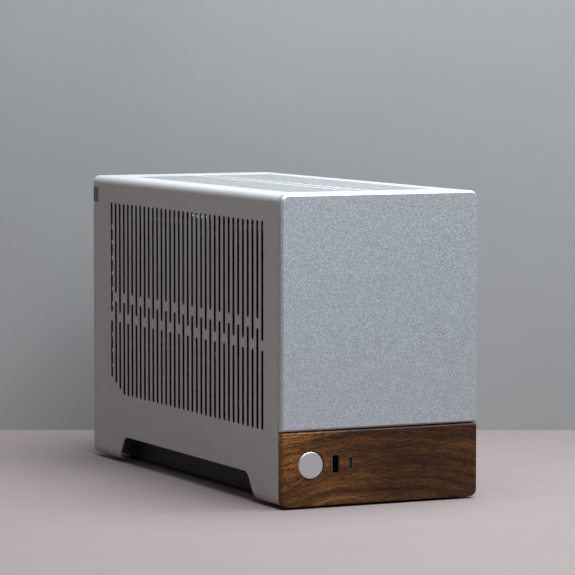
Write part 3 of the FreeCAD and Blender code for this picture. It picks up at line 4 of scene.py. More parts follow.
import bmesh
import bpy
from bpy.props import FloatProperty, FloatVectorProperty, IntProperty, PointerProperty, StringProperty
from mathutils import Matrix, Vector


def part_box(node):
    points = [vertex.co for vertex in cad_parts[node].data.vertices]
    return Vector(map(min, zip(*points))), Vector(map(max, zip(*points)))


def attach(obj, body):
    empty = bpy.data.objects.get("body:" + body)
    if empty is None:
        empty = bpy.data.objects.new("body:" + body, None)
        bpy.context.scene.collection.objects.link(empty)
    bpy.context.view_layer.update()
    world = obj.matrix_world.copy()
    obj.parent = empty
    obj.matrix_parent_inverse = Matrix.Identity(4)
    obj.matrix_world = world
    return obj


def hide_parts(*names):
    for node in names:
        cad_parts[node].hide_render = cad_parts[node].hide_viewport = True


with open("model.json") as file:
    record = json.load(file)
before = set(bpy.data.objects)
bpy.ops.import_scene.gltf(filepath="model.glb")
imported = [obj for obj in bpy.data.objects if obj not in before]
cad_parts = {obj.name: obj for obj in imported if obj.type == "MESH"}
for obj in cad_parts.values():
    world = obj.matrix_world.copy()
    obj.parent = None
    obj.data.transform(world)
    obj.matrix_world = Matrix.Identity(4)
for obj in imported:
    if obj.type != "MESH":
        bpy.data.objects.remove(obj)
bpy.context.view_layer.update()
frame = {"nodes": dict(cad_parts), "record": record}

bl_info = {
    "name": "Desktop Tower Finish",
    "version": (1, 0, 0),
    "blender": (4, 5, 0),
    "location": "3D View > Sidebar > Tower",
    "description": "Finishes and fine pieces for a compact desktop computer tower with a walnut fascia",
    "category": "Object",
}

MM = 0.001
SLOT_OF = {row["node"]: row["material_slot"] for row in frame["record"]["subparts"]}


# ---- colours and nodes -------------------------------------------------------------------

def linear(hex_colour):
    """A colour written as an sRGB hex value, as the linear red, green, blue and alpha that shaders use."""
    parts = [int(hex_colour[i:i + 2], 16) / 255 for i in (0, 2, 4)]
    return (*[part / 12.92 if part <= 0.04045 else ((part + 0.055) / 1.055) ** 2.4 for part in parts], 1.0)


def add(tree, kind, inputs=None, **settings):
    """Adds a node with its settings; an input is given as a value or as the socket that feeds it."""
    made = tree.nodes.new(kind)
    for name, setting in settings.items():
        setattr(made, name, setting)
    for name, given in (inputs or {}).items():
        if isinstance(given, bpy.types.NodeSocket):
            tree.links.new(given, made.inputs[name])
        else:
            made.inputs[name].default_value = given
    return made


def set_ramp(ramp, *stops):
    """Gives a colour ramp its stops, each a place from 0 to 1 and an sRGB hex colour."""
    elements = ramp.color_ramp.elements
    while len(elements) < len(stops):
        elements.new(0.5)
    for element, (place, colour) in zip(elements, stops):
        element.position = place
        element.color = linear(colour)
    return ramp


def start_material(name):
    """An empty material with its shader, ready for a pattern on Object coordinates."""
    material = bpy.data.materials.new(name)
    material.use_nodes = True
    tree = material.node_tree
    tree.nodes.clear()
    shader = add(tree, "ShaderNodeBsdfPrincipled")
    add(tree, "ShaderNodeOutputMaterial", {"Surface": shader.outputs["BSDF"]})
    coords = add(tree, "ShaderNodeTexCoord").outputs["Object"]
    return material, tree, shader, coords


def feed(tree, shader, **sources):
    """Links or sets the shader's inputs by name, with underscores for spaces."""
    for name, given in sources.items():
        socket = shader.inputs[name.replace("_", " ")]
        if isinstance(given, bpy.types.NodeSocket):
            tree.links.new(given, socket)
        else:
            socket.default_value = given


def per_metre(millimetres):
    """A noise scale whose features are about that many millimetres."""
    return 1000 / millimetres


def times(tree, *values):
    """The product of several masks."""
    product = values[0]
    for value in values[1:]:
        product = add(tree, "ShaderNodeMath", {0: product, 1: value}, operation="MULTIPLY").outputs["Value"]
    return product


def within(tree, value, low_mm, high_mm):
    """1 where a value in metres lies between two places given in millimetres, else 0."""
    middle, half = (low_mm + high_mm) / 2 * MM, (high_mm - low_mm) / 2 * MM
    return add(tree, "ShaderNodeMath", {0: value, 1: middle, 2: half}, operation="COMPARE").outputs["Value"]


def magnitude(tree, value):
    return add(tree, "ShaderNodeMath", {0: value}, operation="ABSOLUTE").outputs["Value"]


def blend_colours(tree, mask, first, second):
    """The first colour where the mask is 0 and the second where it is 1."""
    # A Mix node has one set of sockets for each data type, so its colour sockets go by place.
    return add(tree, "ShaderNodeMix", {0: mask, 6: first, 7: second}, data_type="RGBA").outputs[2]


# ---- materials ---------------------------------------------------------------------------

def powder_coat(name, deep, pale, grain_mm, roughness, bump_mm=0.02, mask=None, painted_shade_colour="040404"):
    """Powder coat on steel: an even colour broken by a fine orange-peel grain that scatters its gloss."""
    material, tree, shader, coords = start_material(name)
    grain = add(tree, "ShaderNodeTexNoise", {"Vector": coords, "Scale": per_metre(grain_mm), "Detail": 2.0,
                                             "Roughness": 0.6})
    cloud = add(tree, "ShaderNodeTexNoise", {"Vector": coords, "Scale": per_metre(60), "Detail": 2.0})
    both = add(tree, "ShaderNodeMix", {"Factor": 0.25, "A": grain.outputs["Fac"], "B": cloud.outputs["Fac"]},
               data_type="FLOAT")
    tone = set_ramp(add(tree, "ShaderNodeValToRGB", {"Fac": both.outputs["Result"]}), (0.3, deep), (0.7, pale))
    colour = tone.outputs["Color"]
    # Where a mask is given, its places get a near-black painted shade: the shadow inside the slots.
    if mask:
        colour = blend_colours(tree, mask(tree, coords), colour, linear(painted_shade_colour))
    gloss = add(tree, "ShaderNodeMapRange", {"Value": grain.outputs["Fac"], "From Min": 0.3, "From Max": 0.7,
                                             "To Min": roughness - 0.06, "To Max": roughness + 0.08})
    bump = add(tree, "ShaderNodeBump", {"Height": grain.outputs["Fac"], "Strength": 0.35,
                                        "Distance": bump_mm * MM})
    feed(tree, shader, Base_Color=colour, Roughness=gloss.outputs["Result"], Normal=bump.outputs["Normal"])
    return material


# Where the slots' walls are, in millimetres; these walls get near-black painted shade. Each stretch stops just
# inside the sheet's outer face.
SLOTS_ALONG = (-146, 141)
DOOR_SHEET = (74, 76.46)
DOOR_SLOTS_UP = (45, 205)
TOP_SHEET = (216, 217.96)
TOP_SLOTS_ACROSS = (-1, 60)
# A wall's normal leans less than 0.6 towards the sheet's face, in thousandths.
WALL_LEAN = (-1, 600)


def slot_wall_painted_shade(tree, coords):
    """Marks the cut walls of the doors' and the top's slots, which get near-black painted shade right to the face,
    standing for the shadow inside the slots.
    """
    place = add(tree, "ShaderNodeSeparateXYZ", {"Vector": coords})
    across = magnitude(tree, place.outputs["X"])
    normal = add(tree, "ShaderNodeSeparateXYZ", {"Vector": add(tree, "ShaderNodeTexCoord").outputs["Normal"]})
    along = within(tree, place.outputs["Y"], *SLOTS_ALONG)
    door_wall = within(tree, magnitude(tree, normal.outputs["X"]), *WALL_LEAN)
    door = times(tree, within(tree, across, *DOOR_SHEET), within(tree, place.outputs["Z"], *DOOR_SLOTS_UP),
                 door_wall, along)
    top_wall = within(tree, magnitude(tree, normal.outputs["Z"]), *WALL_LEAN)
    top = times(tree, within(tree, across, *TOP_SLOTS_ACROSS), within(tree, place.outputs["Z"], *TOP_SHEET),
                top_wall, along)
    return add(tree, "ShaderNodeMath", {0: door, 1: top}, operation="MAXIMUM").outputs["Value"]


SOCKET_RIM_BACK = -170.9


def socket_shade_and_black_tongue(tree, coords):
    """Marks all of a front socket but its rim, for near black: the socket's real black tongue, and painted shade
    on the metal inside its shell.
    """
    place = add(tree, "ShaderNodeSeparateXYZ", {"Vector": coords})
    return add(tree, "ShaderNodeMath", {0: place.outputs["Y"], 1: SOCKET_RIM_BACK * MM},
               operation="GREATER_THAN").outputs["Value"]


def blasted_aluminium(name, deep, pale, grain_mm, roughness):
    """Bead-blasted anodised aluminium: a cool metal with a glittering grain of tiny dents."""
    material, tree, shader, coords = start_material(name)
    fine = add(tree, "ShaderNodeTexNoise", {"Vector": coords, "Scale": per_metre(grain_mm), "Detail": 3.0,
                                            "Roughness": 0.75})
    dents = add(tree, "ShaderNodeTexVoronoi", {"Vector": coords, "Scale": per_metre(grain_mm * 1.6)})
    tone = set_ramp(add(tree, "ShaderNodeValToRGB", {"Fac": fine.outputs["Fac"]}), (0.34, deep), (0.66, pale))
    gloss = add(tree, "ShaderNodeMapRange", {"Value": dents.outputs["Distance"], "From Min": 0.0, "From Max": 0.8,
                                             "To Min": roughness - 0.08, "To Max": roughness + 0.08})
    bump = add(tree, "ShaderNodeBump", {"Height": fine.outputs["Fac"], "Strength": 0.6, "Distance": 0.14 * MM})
    feed(tree, shader, Base_Color=tone.outputs["Color"], Roughness=gloss.outputs["Result"],
         Normal=bump.outputs["Normal"], Metallic=0.7)
    return material


def oiled_walnut(name):
    """Oiled walnut veneer, grain along the fascia: arched dark figure, paler streaks and short open pores."""
    material, tree, shader, coords = start_material(name)
    place = add(tree, "ShaderNodeSeparateXYZ", {"Vector": coords})
    # The grain bends down towards both ends like the arch of a flat-sawn board, and wanders a little.
    square = add(tree, "ShaderNodeMath", {0: place.outputs["X"], 1: place.outputs["X"]}, operation="MULTIPLY")
    arch = add(tree, "ShaderNodeMath", {0: square.outputs["Value"], 1: 1.9, 2: place.outputs["Z"]},
               operation="MULTIPLY_ADD")
    wander = add(tree, "ShaderNodeTexNoise", {"Vector": coords, "Scale": per_metre(55), "Detail": 1.0})
    level = add(tree, "ShaderNodeMath", {0: wander.outputs["Fac"], 1: 14 * MM, 2: arch.outputs["Value"]},
                operation="MULTIPLY_ADD")
    grain = add(tree, "ShaderNodeCombineXYZ", {"X": place.outputs["X"], "Y": place.outputs["Y"],
                                               "Z": level.outputs["Value"]}).outputs["Vector"]

    def streaks(long_mm, tall_mm, detail, roughness=0.55):
        space = add(tree, "ShaderNodeMapping", {"Vector": grain, "Scale": (per_metre(long_mm), per_metre(long_mm),
                                                                           per_metre(tall_mm))})
        return add(tree, "ShaderNodeTexNoise", {"Vector": space.outputs["Vector"], "Scale": 1.0, "Detail": detail,
                                                "Roughness": roughness}).outputs["Fac"]

    figure = streaks(120, 7, 4.0, 0.6)
    fibre = streaks(9, 0.7, 2.0)
    pores = streaks(3.2, 0.42, 1.0)
    mixed = add(tree, "ShaderNodeMix", {"Factor": 0.36, "A": figure, "B": fibre}, data_type="FLOAT")
    tone = set_ramp(add(tree, "ShaderNodeValToRGB", {"Fac": mixed.outputs["Result"]}),
                    (0.36, "25160C"), (0.46, "452B18"), (0.54, "613E23"), (0.66, "8B5F38"))
    pore_mask = add(tree, "ShaderNodeMapRange", {"Value": pores, "From Min": 0.58, "From Max": 0.66})
    # Painted light and shade: brighter towards the left end, where the light falls on the fascia, and darker from
    # the middle on.
    painted_light_ramp = add(tree, "ShaderNodeMapRange", {"Value": place.outputs["X"], "From Min": -70 * MM,
                                             "From Max": 10 * MM, "To Min": 1.7, "To Max": 0.55})
    board = add(tree, "ShaderNodeHueSaturation", {"Color": tone.outputs["Color"], "Saturation": 1.08,
                                                  "Value": painted_light_ramp.outputs["Result"]})
    colour = blend_colours(tree, pore_mask.outputs["Result"], board.outputs["Color"], linear("1C110A"))
    bump = add(tree, "ShaderNodeBump", {"Height": pores, "Strength": 0.4, "Distance": -0.1 * MM})
    gloss = add(tree, "ShaderNodeMapRange", {"Value": fibre, "To Min": 0.42, "To Max": 0.62})
    feed(tree, shader, Base_Color=colour, Roughness=gloss.outputs["Result"], Normal=bump.outputs["Normal"],
         Specular_IOR_Level=0.25)
    return material


def satin_metal(name, deep, pale, roughness, grain_mm=0.8, metallic=1.0, mask=None):
    """Metal with a drawn or turned finish: fine lines that spread its highlight."""
    material, tree, shader, coords = start_material(name)
    lines = add(tree, "ShaderNodeTexNoise", {"Vector": coords, "Scale": per_metre(grain_mm), "Detail": 3.0})
    tone = set_ramp(add(tree, "ShaderNodeValToRGB", {"Fac": lines.outputs["Fac"]}), (0.3, deep), (0.7, pale))
    colour = tone.outputs["Color"]
    # Where a mask is given, its places get near black: painted shade on the metal inside a socket's shell,
    # together with its real black tongue.
    if mask:
        colour = blend_colours(tree, mask(tree, coords), colour, linear("050505"))
    gloss = add(tree, "ShaderNodeMapRange", {"Value": lines.outputs["Fac"], "To Min": roughness - 0.07,
                                             "To Max": roughness + 0.07})
    bump = add(tree, "ShaderNodeBump", {"Height": lines.outputs["Fac"], "Strength": 0.2, "Distance": 0.03 * MM})
    feed(tree, shader, Base_Color=colour, Roughness=gloss.outputs["Result"], Normal=bump.outputs["Normal"],
         Metallic=metallic)
    return material


def moulded_plastic(name, deep, pale, roughness, grain_mm=0.5):
    """Moulded plastic with the fine spark-eroded texture of its tool."""
    return powder_coat(name, deep, pale, grain_mm, roughness, bump_mm=0.04)


def solder_mask(name, deep, pale):
    """A circuit board's lacquer over its copper tracks: faint raised lines under a semi-gloss skin."""
    material, tree, shader, coords = start_material(name)
    turned = add(tree, "ShaderNodeMapping", {"Vector": coords, "Rotation": (0.0, math.pi / 2, 0.0)})
    tracks = add(tree, "ShaderNodeTexBrick", {"Vector": turned.outputs["Vector"], "Scale": 1.0,
                                              "Brick Width": 0.011, "Row Height": 0.0016, "Mortar Size": 0.00022})
    speck = add(tree, "ShaderNodeTexNoise", {"Vector": coords, "Scale": per_metre(2.5), "Detail": 2.0})
    tone = set_ramp(add(tree, "ShaderNodeValToRGB", {"Fac": speck.outputs["Fac"]}), (0.35, deep), (0.65, pale))
    bump = add(tree, "ShaderNodeBump", {"Height": tracks.outputs["Fac"], "Strength": 0.5, "Distance": 0.05 * MM})
    feed(tree, shader, Base_Color=tone.outputs["Color"], Roughness=0.34, Normal=bump.outputs["Normal"],
         Coat_Weight=0.3)
    return material


def woven_webbing(name, deep, pale, thread_mm):
    """Nylon webbing: a plain weave of soft threads with a slight sheen."""
    material, tree, shader, coords = start_material(name)
    weave = add(tree, "ShaderNodeTexChecker", {"Vector": coords, "Scale": per_metre(thread_mm)})
    fuzz = add(tree, "ShaderNodeTexNoise", {"Vector": coords, "Scale": per_metre(thread_mm / 2), "Detail": 2.0})
    tone = set_ramp(add(tree, "ShaderNodeValToRGB", {"Fac": fuzz.outputs["Fac"]}), (0.3, deep), (0.7, pale))
    height = add(tree, "ShaderNodeMath", {0: weave.outputs["Fac"], 1: fuzz.outputs["Fac"]}, operation="ADD")
    bump = add(tree, "ShaderNodeBump", {"Height": height.outputs["Value"], "Strength": 0.6, "Distance": 0.1 * MM})
    feed(tree, shader, Base_Color=tone.outputs["Color"], Roughness=0.8, Normal=bump.outputs["Normal"],
         Sheen_Weight=0.3)
    return material


class FinishSettings(bpy.types.PropertyGroup):
    door_deep: StringProperty(name="Doors, deep", description="Darker tone of the doors' grain, sRGB hex",
                              default="A5A19D")
    door_pale: StringProperty(name="Doors, pale", description="Paler tone of the doors' grain, sRGB hex",
                              default="B6B2AE")
    plate_deep: StringProperty(name="Front plate, deep", description="Darker tone of the plate, sRGB hex",
                               default="9EA3A6")
    plate_pale: StringProperty(name="Front plate, pale", description="Paler tone of the plate, sRGB hex",
                               default="DDE1E3")


def make_materials(settings):
    """Every finish of the tower, under the record's slot names, with those of the fine pieces."""
    return {
        # The slot walls of the doors and the top get near-black painted shade.
        "shell_paint": powder_coat("silver_powder_coat_satin", settings.door_deep, settings.door_pale, 0.9, 0.5,
                                   mask=slot_wall_painted_shade),
        "front_aluminium": blasted_aluminium("anodised_aluminium_bead_blasted", settings.plate_deep,
                                             settings.plate_pale, 0.85, 0.55),
        "walnut": oiled_walnut("walnut_veneer_oiled"),
        "button_aluminium": satin_metal("anodised_aluminium_turned", "D6D6D6", "E8E8E8", 0.5),
        "black_paint": powder_coat("black_powder_coat_matt", "0B0B0C", "171718", 0.8, 0.62),
        "plated_steel": satin_metal("zinc_plated_steel", "9C9C9B", "BDBDBC", 0.34, 1.5),
        # Inside the front sockets, near black stands for their real black tongues and for painted shade in the
        # metal shells.
        "socket_metal": satin_metal("nickel_plated_steel_drawn", "6F6F70", "8A8A8B", 0.35, 0.6,
                                    mask=socket_shade_and_black_tongue),
        "rubber": moulded_plastic("rubber_moulded_matt", "0C0C0C", "1A1A1A", 0.85, 0.7),
        "tab_webbing": woven_webbing("nylon_webbing_woven", "08080A", "17171A", 0.8),
        "black_plastic": moulded_plastic("abs_moulded_black", "0B0B0C", "18181A", 0.5),
        "circuit_board": solder_mask("circuit_board_solder_mask", "0A0F0D", "141C19"),
        "module_finish": satin_metal("anodised_aluminium_black", "1A1A1C", "2A2A2D", 0.45),
        "fin_aluminium": satin_metal("aluminium_rolled_plain", "A9ABAD", "C9CBCD", 0.36, 0.8),
        "copper": satin_metal("copper_drawn", "A8613C", "C98058", 0.32, 1.0),
        "ribbon": moulded_plastic("pvc_ribbon_sleeve", "101012", "1C1C1F", 0.55),
        "contact_gold": satin_metal("gold_plated_contact", "C79A4B", "E3BC70", 0.3, 0.5),
        "can_aluminium": satin_metal("aluminium_drawn_can", "A3A4A6", "BFC0C2", 0.33, 0.7),
        "epoxy": moulded_plastic("epoxy_moulded_chip", "121213", "1E1E20", 0.45, 0.4),
    }


FINISHES = {}


def cad_node(name):
    return frame["nodes"][name]


def middle_of(name):
    """The centre of a CAD node at rest, in metres."""
    low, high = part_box(name)
    return (Vector(low) + Vector(high)) / 2


# ---- stage -------------------------------------------------------------------------------

class StageSettings(bpy.types.PropertyGroup):
    camera_place: FloatVectorProperty(name="Camera place", description="Where the camera stands, from the tower's "
                                      "origin", default=(-1.0629, -2.2713, 0.3309), subtype="TRANSLATION",
                                      unit="LENGTH")
    camera_turn: FloatProperty(name="Turn", description="Turn of the view from straight back to the right side",
                               default=math.radians(25.265), subtype="ANGLE")
    camera_dip: FloatProperty(name="Dip", description="How far the view looks down", default=math.radians(4.35),
                              subtype="ANGLE")
    camera_lens: FloatProperty(name="Lens", description="Focal length on a 36 mm sensor, in millimetres",
                               default=212.4)
    floor_colour: StringProperty(name="Floor", description="Floor colour as an sRGB hex value", default="81726C")
    floor_reach: FloatProperty(name="Floor reach", description="Half width of the floor", default=8.0,
                               unit="LENGTH")
    backdrop_colour: StringProperty(name="Backdrop", description="Backdrop colour as an sRGB hex value",
                                    default="918E8A")
    backdrop_gap: FloatProperty(name="Backdrop gap", description="Middle of the tower to the backdrop",
                                default=0.286, unit="LENGTH")
    backdrop_height: FloatProperty(name="Backdrop height", description="Height of the backdrop", default=0.9,
                                   unit="LENGTH")
    overhead: FloatProperty(name="Overhead light", description="Power of the soft box above", default=54.0,
                            unit="POWER")
    front: FloatProperty(name="Front light", description="Power of the soft box before the tower", default=2.1,
                         unit="POWER")
    fill: FloatProperty(name="Fill", description="Power of the warm fill from the left", default=1.6,
                        unit="POWER")
    surround: FloatProperty(name="Surround", description="Strength of the even light all round", default=0.13)


def area_light(name, place, target, size, power, colour):
    """A soft box at a place, turned towards a target."""
    light = bpy.data.lights.new(name, "AREA")
    light.shape = "RECTANGLE"
    light.size, light.size_y = size
    light.energy = power
    light.color = linear(colour)[:3]
    holder = bpy.data.objects.new(name, light)
    holder.location = place
    holder.rotation_euler = (Vector(target) - Vector(place)).to_track_quat("-Z", "Y").to_euler()
    bpy.context.scene.collection.objects.link(holder)


def plain_material(name, colour, grain_mm, one_sided=False):
    """A matt painted surface with a barely visible mottle, clear from behind if one-sided."""
    material, tree, shader, coords = start_material(name)
    mottle = add(tree, "ShaderNodeTexNoise", {"Vector": coords, "Scale": per_metre(grain_mm), "Detail": 4.0})
    level = add(tree, "ShaderNodeMapRange", {"Value": mottle.outputs["Fac"], "To Min": 0.94, "To Max": 1.06})
    tone = add(tree, "ShaderNodeHueSaturation", {"Color": linear(colour), "Value": level.outputs["Result"]})
    feed(tree, shader, Base_Color=tone.outputs["Color"], Roughness=0.8)
    if one_sided:
        behind = add(tree, "ShaderNodeNewGeometry").outputs["Backfacing"]
        clear = add(tree, "ShaderNodeBsdfTransparent")
        either = add(tree, "ShaderNodeMixShader", {0: behind, 1: shader.outputs["BSDF"], 2: clear.outputs["BSDF"]})
        tree.links.new(either.outputs["Shader"], tree.nodes["Material Output"].inputs["Surface"])
    return material


def plain_sheet(name, corners, material):
    """A flat four-cornered piece of the stage."""
    mesh = bpy.data.meshes.new(name)
    mesh.from_pydata(corners, [], [(0, 1, 2, 3)])
    mesh.materials.append(material)
    sheet = bpy.data.objects.new(name, mesh)
    bpy.context.scene.collection.objects.link(sheet)


class TOWER_OT_stage(bpy.types.Operator):
    """Floor, soft boxes and camera"""
    bl_idname = "tower.stage"
    bl_label = "Stage"

    def execute(self, context):
        settings = context.scene.tower_stage
        scene = context.scene
        reach = settings.floor_reach
        plain_sheet("floor", [(-reach, -reach, 0), (reach, -reach, 0), (reach, reach, 0), (-reach, reach, 0)],
                    plain_material("floor_paint", settings.floor_colour, 40))
        # The backdrop stands square to the view, behind the tower.
        away = Vector((math.sin(settings.camera_turn), math.cos(settings.camera_turn), 0.0))
        aside = Vector((away.y, -away.x, 0.0)) * reach
        foot = away * settings.backdrop_gap
        rise = Vector((0.0, 0.0, settings.backdrop_height))
        plain_sheet("backdrop", [foot - aside, foot + aside, foot + aside + rise, foot - aside + rise],
                    plain_material("backdrop_paint", settings.backdrop_colour, 120, one_sided=True))

        middle = (0.0, 0.0, 0.12)
        area_light("overhead_softbox", (0.2, -0.3, 1.25), middle, (1.2, 1.2), settings.overhead, "DFEDFA")
        area_light("front_softbox", (-0.15, -0.72, 0.78), middle, (0.4, 0.4), settings.front, "F2F7FF")
        area_light("left_fill", (-2.2, -0.4, 0.8), middle, (1.2, 1.2), settings.fill, "FFE9D6")

        world = bpy.data.worlds.new("studio")
        world.use_nodes = True
        background = world.node_tree.nodes["Background"]
        background.inputs["Color"].default_value = linear("D2CEC8")
        background.inputs["Strength"].default_value = settings.surround
        scene.world = world

        camera = bpy.data.cameras.new("camera")
        camera.sensor_width = 36
        camera.lens = settings.camera_lens
        camera.clip_end = 50
        holder = bpy.data.objects.new("camera", camera)
        holder.location = settings.camera_place
        holder.rotation_euler = (math.pi / 2 - settings.camera_dip, 0.0, -settings.camera_turn)
        scene.collection.objects.link(holder)
        scene.camera = holder
        scene.view_settings.view_transform = "Standard"
        return {"FINISHED"}


class TOWER_OT_finishes(bpy.types.Operator):
    """The finish of every CAD piece"""
    bl_idname = "tower.finishes"
    bl_label = "Finishes"

    def execute(self, context):
        FINISHES.update(make_materials(context.scene.tower_finish))
        for name, record_slot in SLOT_OF.items():
            for slot in cad_node(name).material_slots:
                slot.material = FINISHES[record_slot]
        return {"FINISHED"}


# ---- node trees that repeat a shape ------------------------------------------------------

def new_tree(name, **sockets):
    """An empty geometry tree with Geometry in and out and the named inputs, each given its socket type."""
    tree = bpy.data.node_groups.new(name, "GeometryNodeTree")
    tree.interface.new_socket("Geometry", in_out="INPUT", socket_type="NodeSocketGeometry")
    for socket, kind in sockets.items():
        tree.interface.new_socket(socket, in_out="INPUT", socket_type=f"NodeSocket{kind}")
    tree.interface.new_socket("Geometry", in_out="OUTPUT", socket_type="NodeSocketGeometry")
    return tree, add(tree, "NodeGroupInput").outputs


def end_tree(tree, given, instances):
    """Realises the instances, gives them the tree's material and sends them out."""
    real = add(tree, "GeometryNodeRealizeInstances", {"Geometry": instances})
    painted = add(tree, "GeometryNodeSetMaterial", {"Geometry": real.outputs["Geometry"],
                                                    "Material": given["Material"]})
    add(tree, "NodeGroupOutput", {"Geometry": painted.outputs["Geometry"]})
    return tree


def row_tree(shape):
    """Boxes or upright cans along a line: Count of them, Step apart from Start."""
    tree, given = new_tree(f"row_of_{shape}", Count="Int", Start="Vector", Step="Vector", Size="Vector",
                           Turn="Rotation", Material="Material")
    line = add(tree, "GeometryNodeMeshLine", {"Count": given["Count"], "Start Location": given["Start"],
                                              "Offset": given["Step"]})
    if shape == "box":
        piece = add(tree, "GeometryNodeMeshCube", {"Size": given["Size"]})
    else:
        size = add(tree, "ShaderNodeSeparateXYZ", {"Vector": given["Size"]})
        piece = add(tree, "GeometryNodeMeshCylinder", {"Vertices": 24, "Radius": size.outputs["X"],
                                                       "Depth": size.outputs["Z"]})
    placed = add(tree, "GeometryNodeInstanceOnPoints", {"Points": line.outputs["Mesh"],
                                                        "Instance": piece.outputs["Mesh"],
                                                        "Rotation": given["Turn"]})
    return end_tree(tree, given, placed.outputs["Instances"])


# A screw head's height, its crown's radius, and its recess's width and length, over its radius.
HEAD_SHARES = (0.55, 0.72, 0.22, 1.1)


def screw_tree():
    """Pan-head screws with a cross recess, one on each point of the incoming mesh."""
    tree, given = new_tree("screw_heads", Radius="Float", Turn="Rotation", Material="Material")
    height, crown, slim, long = [
        add(tree, "ShaderNodeMath", {0: given["Radius"], 1: share}, operation="MULTIPLY").outputs["Value"]
        for share in HEAD_SHARES]
    head = add(tree, "GeometryNodeMeshCone", {"Vertices": 32, "Radius Bottom": given["Radius"],
                                              "Radius Top": crown, "Depth": height})
    recess = []
    for across, along in ((slim, long), (long, slim)):
        size = add(tree, "ShaderNodeCombineXYZ", {"X": across, "Y": along, "Z": height})
        bar = add(tree, "GeometryNodeMeshCube", {"Size": size.outputs["Vector"]})
        lift = add(tree, "ShaderNodeCombineXYZ", {"Z": height})
        recess.append(add(tree, "GeometryNodeTransform", {"Geometry": bar.outputs["Mesh"],
                                                          "Translation": lift.outputs["Vector"]}))
    carved = add(tree, "GeometryNodeMeshBoolean", {"Mesh 1": head.outputs["Mesh"]}, operation="DIFFERENCE")
    for bar in recess:
        tree.links.new(bar.outputs["Geometry"], carved.inputs["Mesh 2"])
    placed = add(tree, "GeometryNodeInstanceOnPoints", {"Points": given["Geometry"],
                                                        "Instance": carved.outputs["Mesh"],
                                                        "Rotation": given["Turn"]})
    return end_tree(tree, given, placed.outputs["Instances"])


def ring_tree():
    """Copies of the incoming mesh turned evenly about the X axis."""
    tree, given = new_tree("ring_about_x", Count="Int", Centre="Vector", Material="Material")
    line = add(tree, "GeometryNodeMeshLine", {"Count": given["Count"], "Start Location": given["Centre"],
                                              "Offset": (0.0, 0.0, 0.0)})
    index = add(tree, "GeometryNodeInputIndex")
    share = add(tree, "ShaderNodeMath", {0: index.outputs["Index"], 1: given["Count"]}, operation="DIVIDE")
    turn = add(tree, "ShaderNodeMath", {0: share.outputs["Value"], 1: math.tau}, operation="MULTIPLY")
    euler = add(tree, "ShaderNodeCombineXYZ", {"X": turn.outputs["Value"]})
    rotation = add(tree, "FunctionNodeEulerToRotation", {"Euler": euler.outputs["Vector"]})
    placed = add(tree, "GeometryNodeInstanceOnPoints", {"Points": line.outputs["Mesh"],
                                                        "Instance": given["Geometry"],
                                                        "Rotation": rotation.outputs["Rotation"]})
    return end_tree(tree, given, placed.outputs["Instances"])


def grow(name, tree, source=None, **inputs):
    """The plain mesh that a tree makes from a source mesh and its named inputs."""
    holder = bpy.data.objects.new(f"{name}_source", source or bpy.data.meshes.new(f"{name}_source"))
    bpy.context.scene.collection.objects.link(holder)
    modifier = holder.modifiers.new("tree", "NODES")
    modifier.node_group = tree
    for item in tree.interface.items_tree:
        if item.in_out == "INPUT" and item.name in inputs:
            modifier[item.identifier] = inputs[item.name]
    holder.update_tag()
    graph = bpy.context.evaluated_depsgraph_get()
    mesh = bpy.data.meshes.new_from_object(holder.evaluated_get(graph))
    holder.modifiers.clear()
    bpy.data.objects.remove(holder)
    if not mesh.polygons:
        raise RuntimeError(f"{name} came out empty")
    return mesh


def joined(name, meshes):
    """One mesh from several, each keeping its material."""
    whole = bmesh.new()
    materials = []
    for mesh in meshes:
        first = len(whole.faces)
        whole.from_mesh(mesh)
        whole.faces.ensure_lookup_table()
        own = list(mesh.materials)
        for face in whole.faces[first:]:
            material = own[face.material_index] if own else None
            if material not in materials:
                materials.append(material)
            face.material_index = materials.index(material)
    mesh = bpy.data.meshes.new(name)
    whole.to_mesh(mesh)
    whole.free()
    for material in materials:
        mesh.materials.append(material)
    return mesh


def show(name, meshes, body, replaced=()):
    """Makes one piece of the meshes and lets it ride on a body."""
    piece = bpy.data.objects.new(name, joined(name, meshes))
    bpy.context.scene.collection.objects.link(piece)
    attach(piece, body)
    if replaced:
        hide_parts(*replaced)
    return piece


def in_metres(*millimetres):
    return Vector(millimetres) * MM


def points_mesh(name, places):
    mesh = bpy.data.meshes.new(name)
    mesh.from_pydata(places, [], [])
    return mesh


# Turns that stand a shape made along +Z upright on a face that looks along the named axis.
FACING = {
    "-X": (0.0, -math.pi / 2, 0.0),
    "+X": (0.0, math.pi / 2, 0.0),
    "+Y": (-math.pi / 2, 0.0, 0.0),
    "-Y": (math.pi / 2, 0.0, 0.0),
}


class SocketSettings(bpy.types.PropertyGroup):
    contact_proud: FloatProperty(name="Contact height", description="How far a contact stands off its tongue",
                                 default=0.12 * MM, unit="LENGTH")


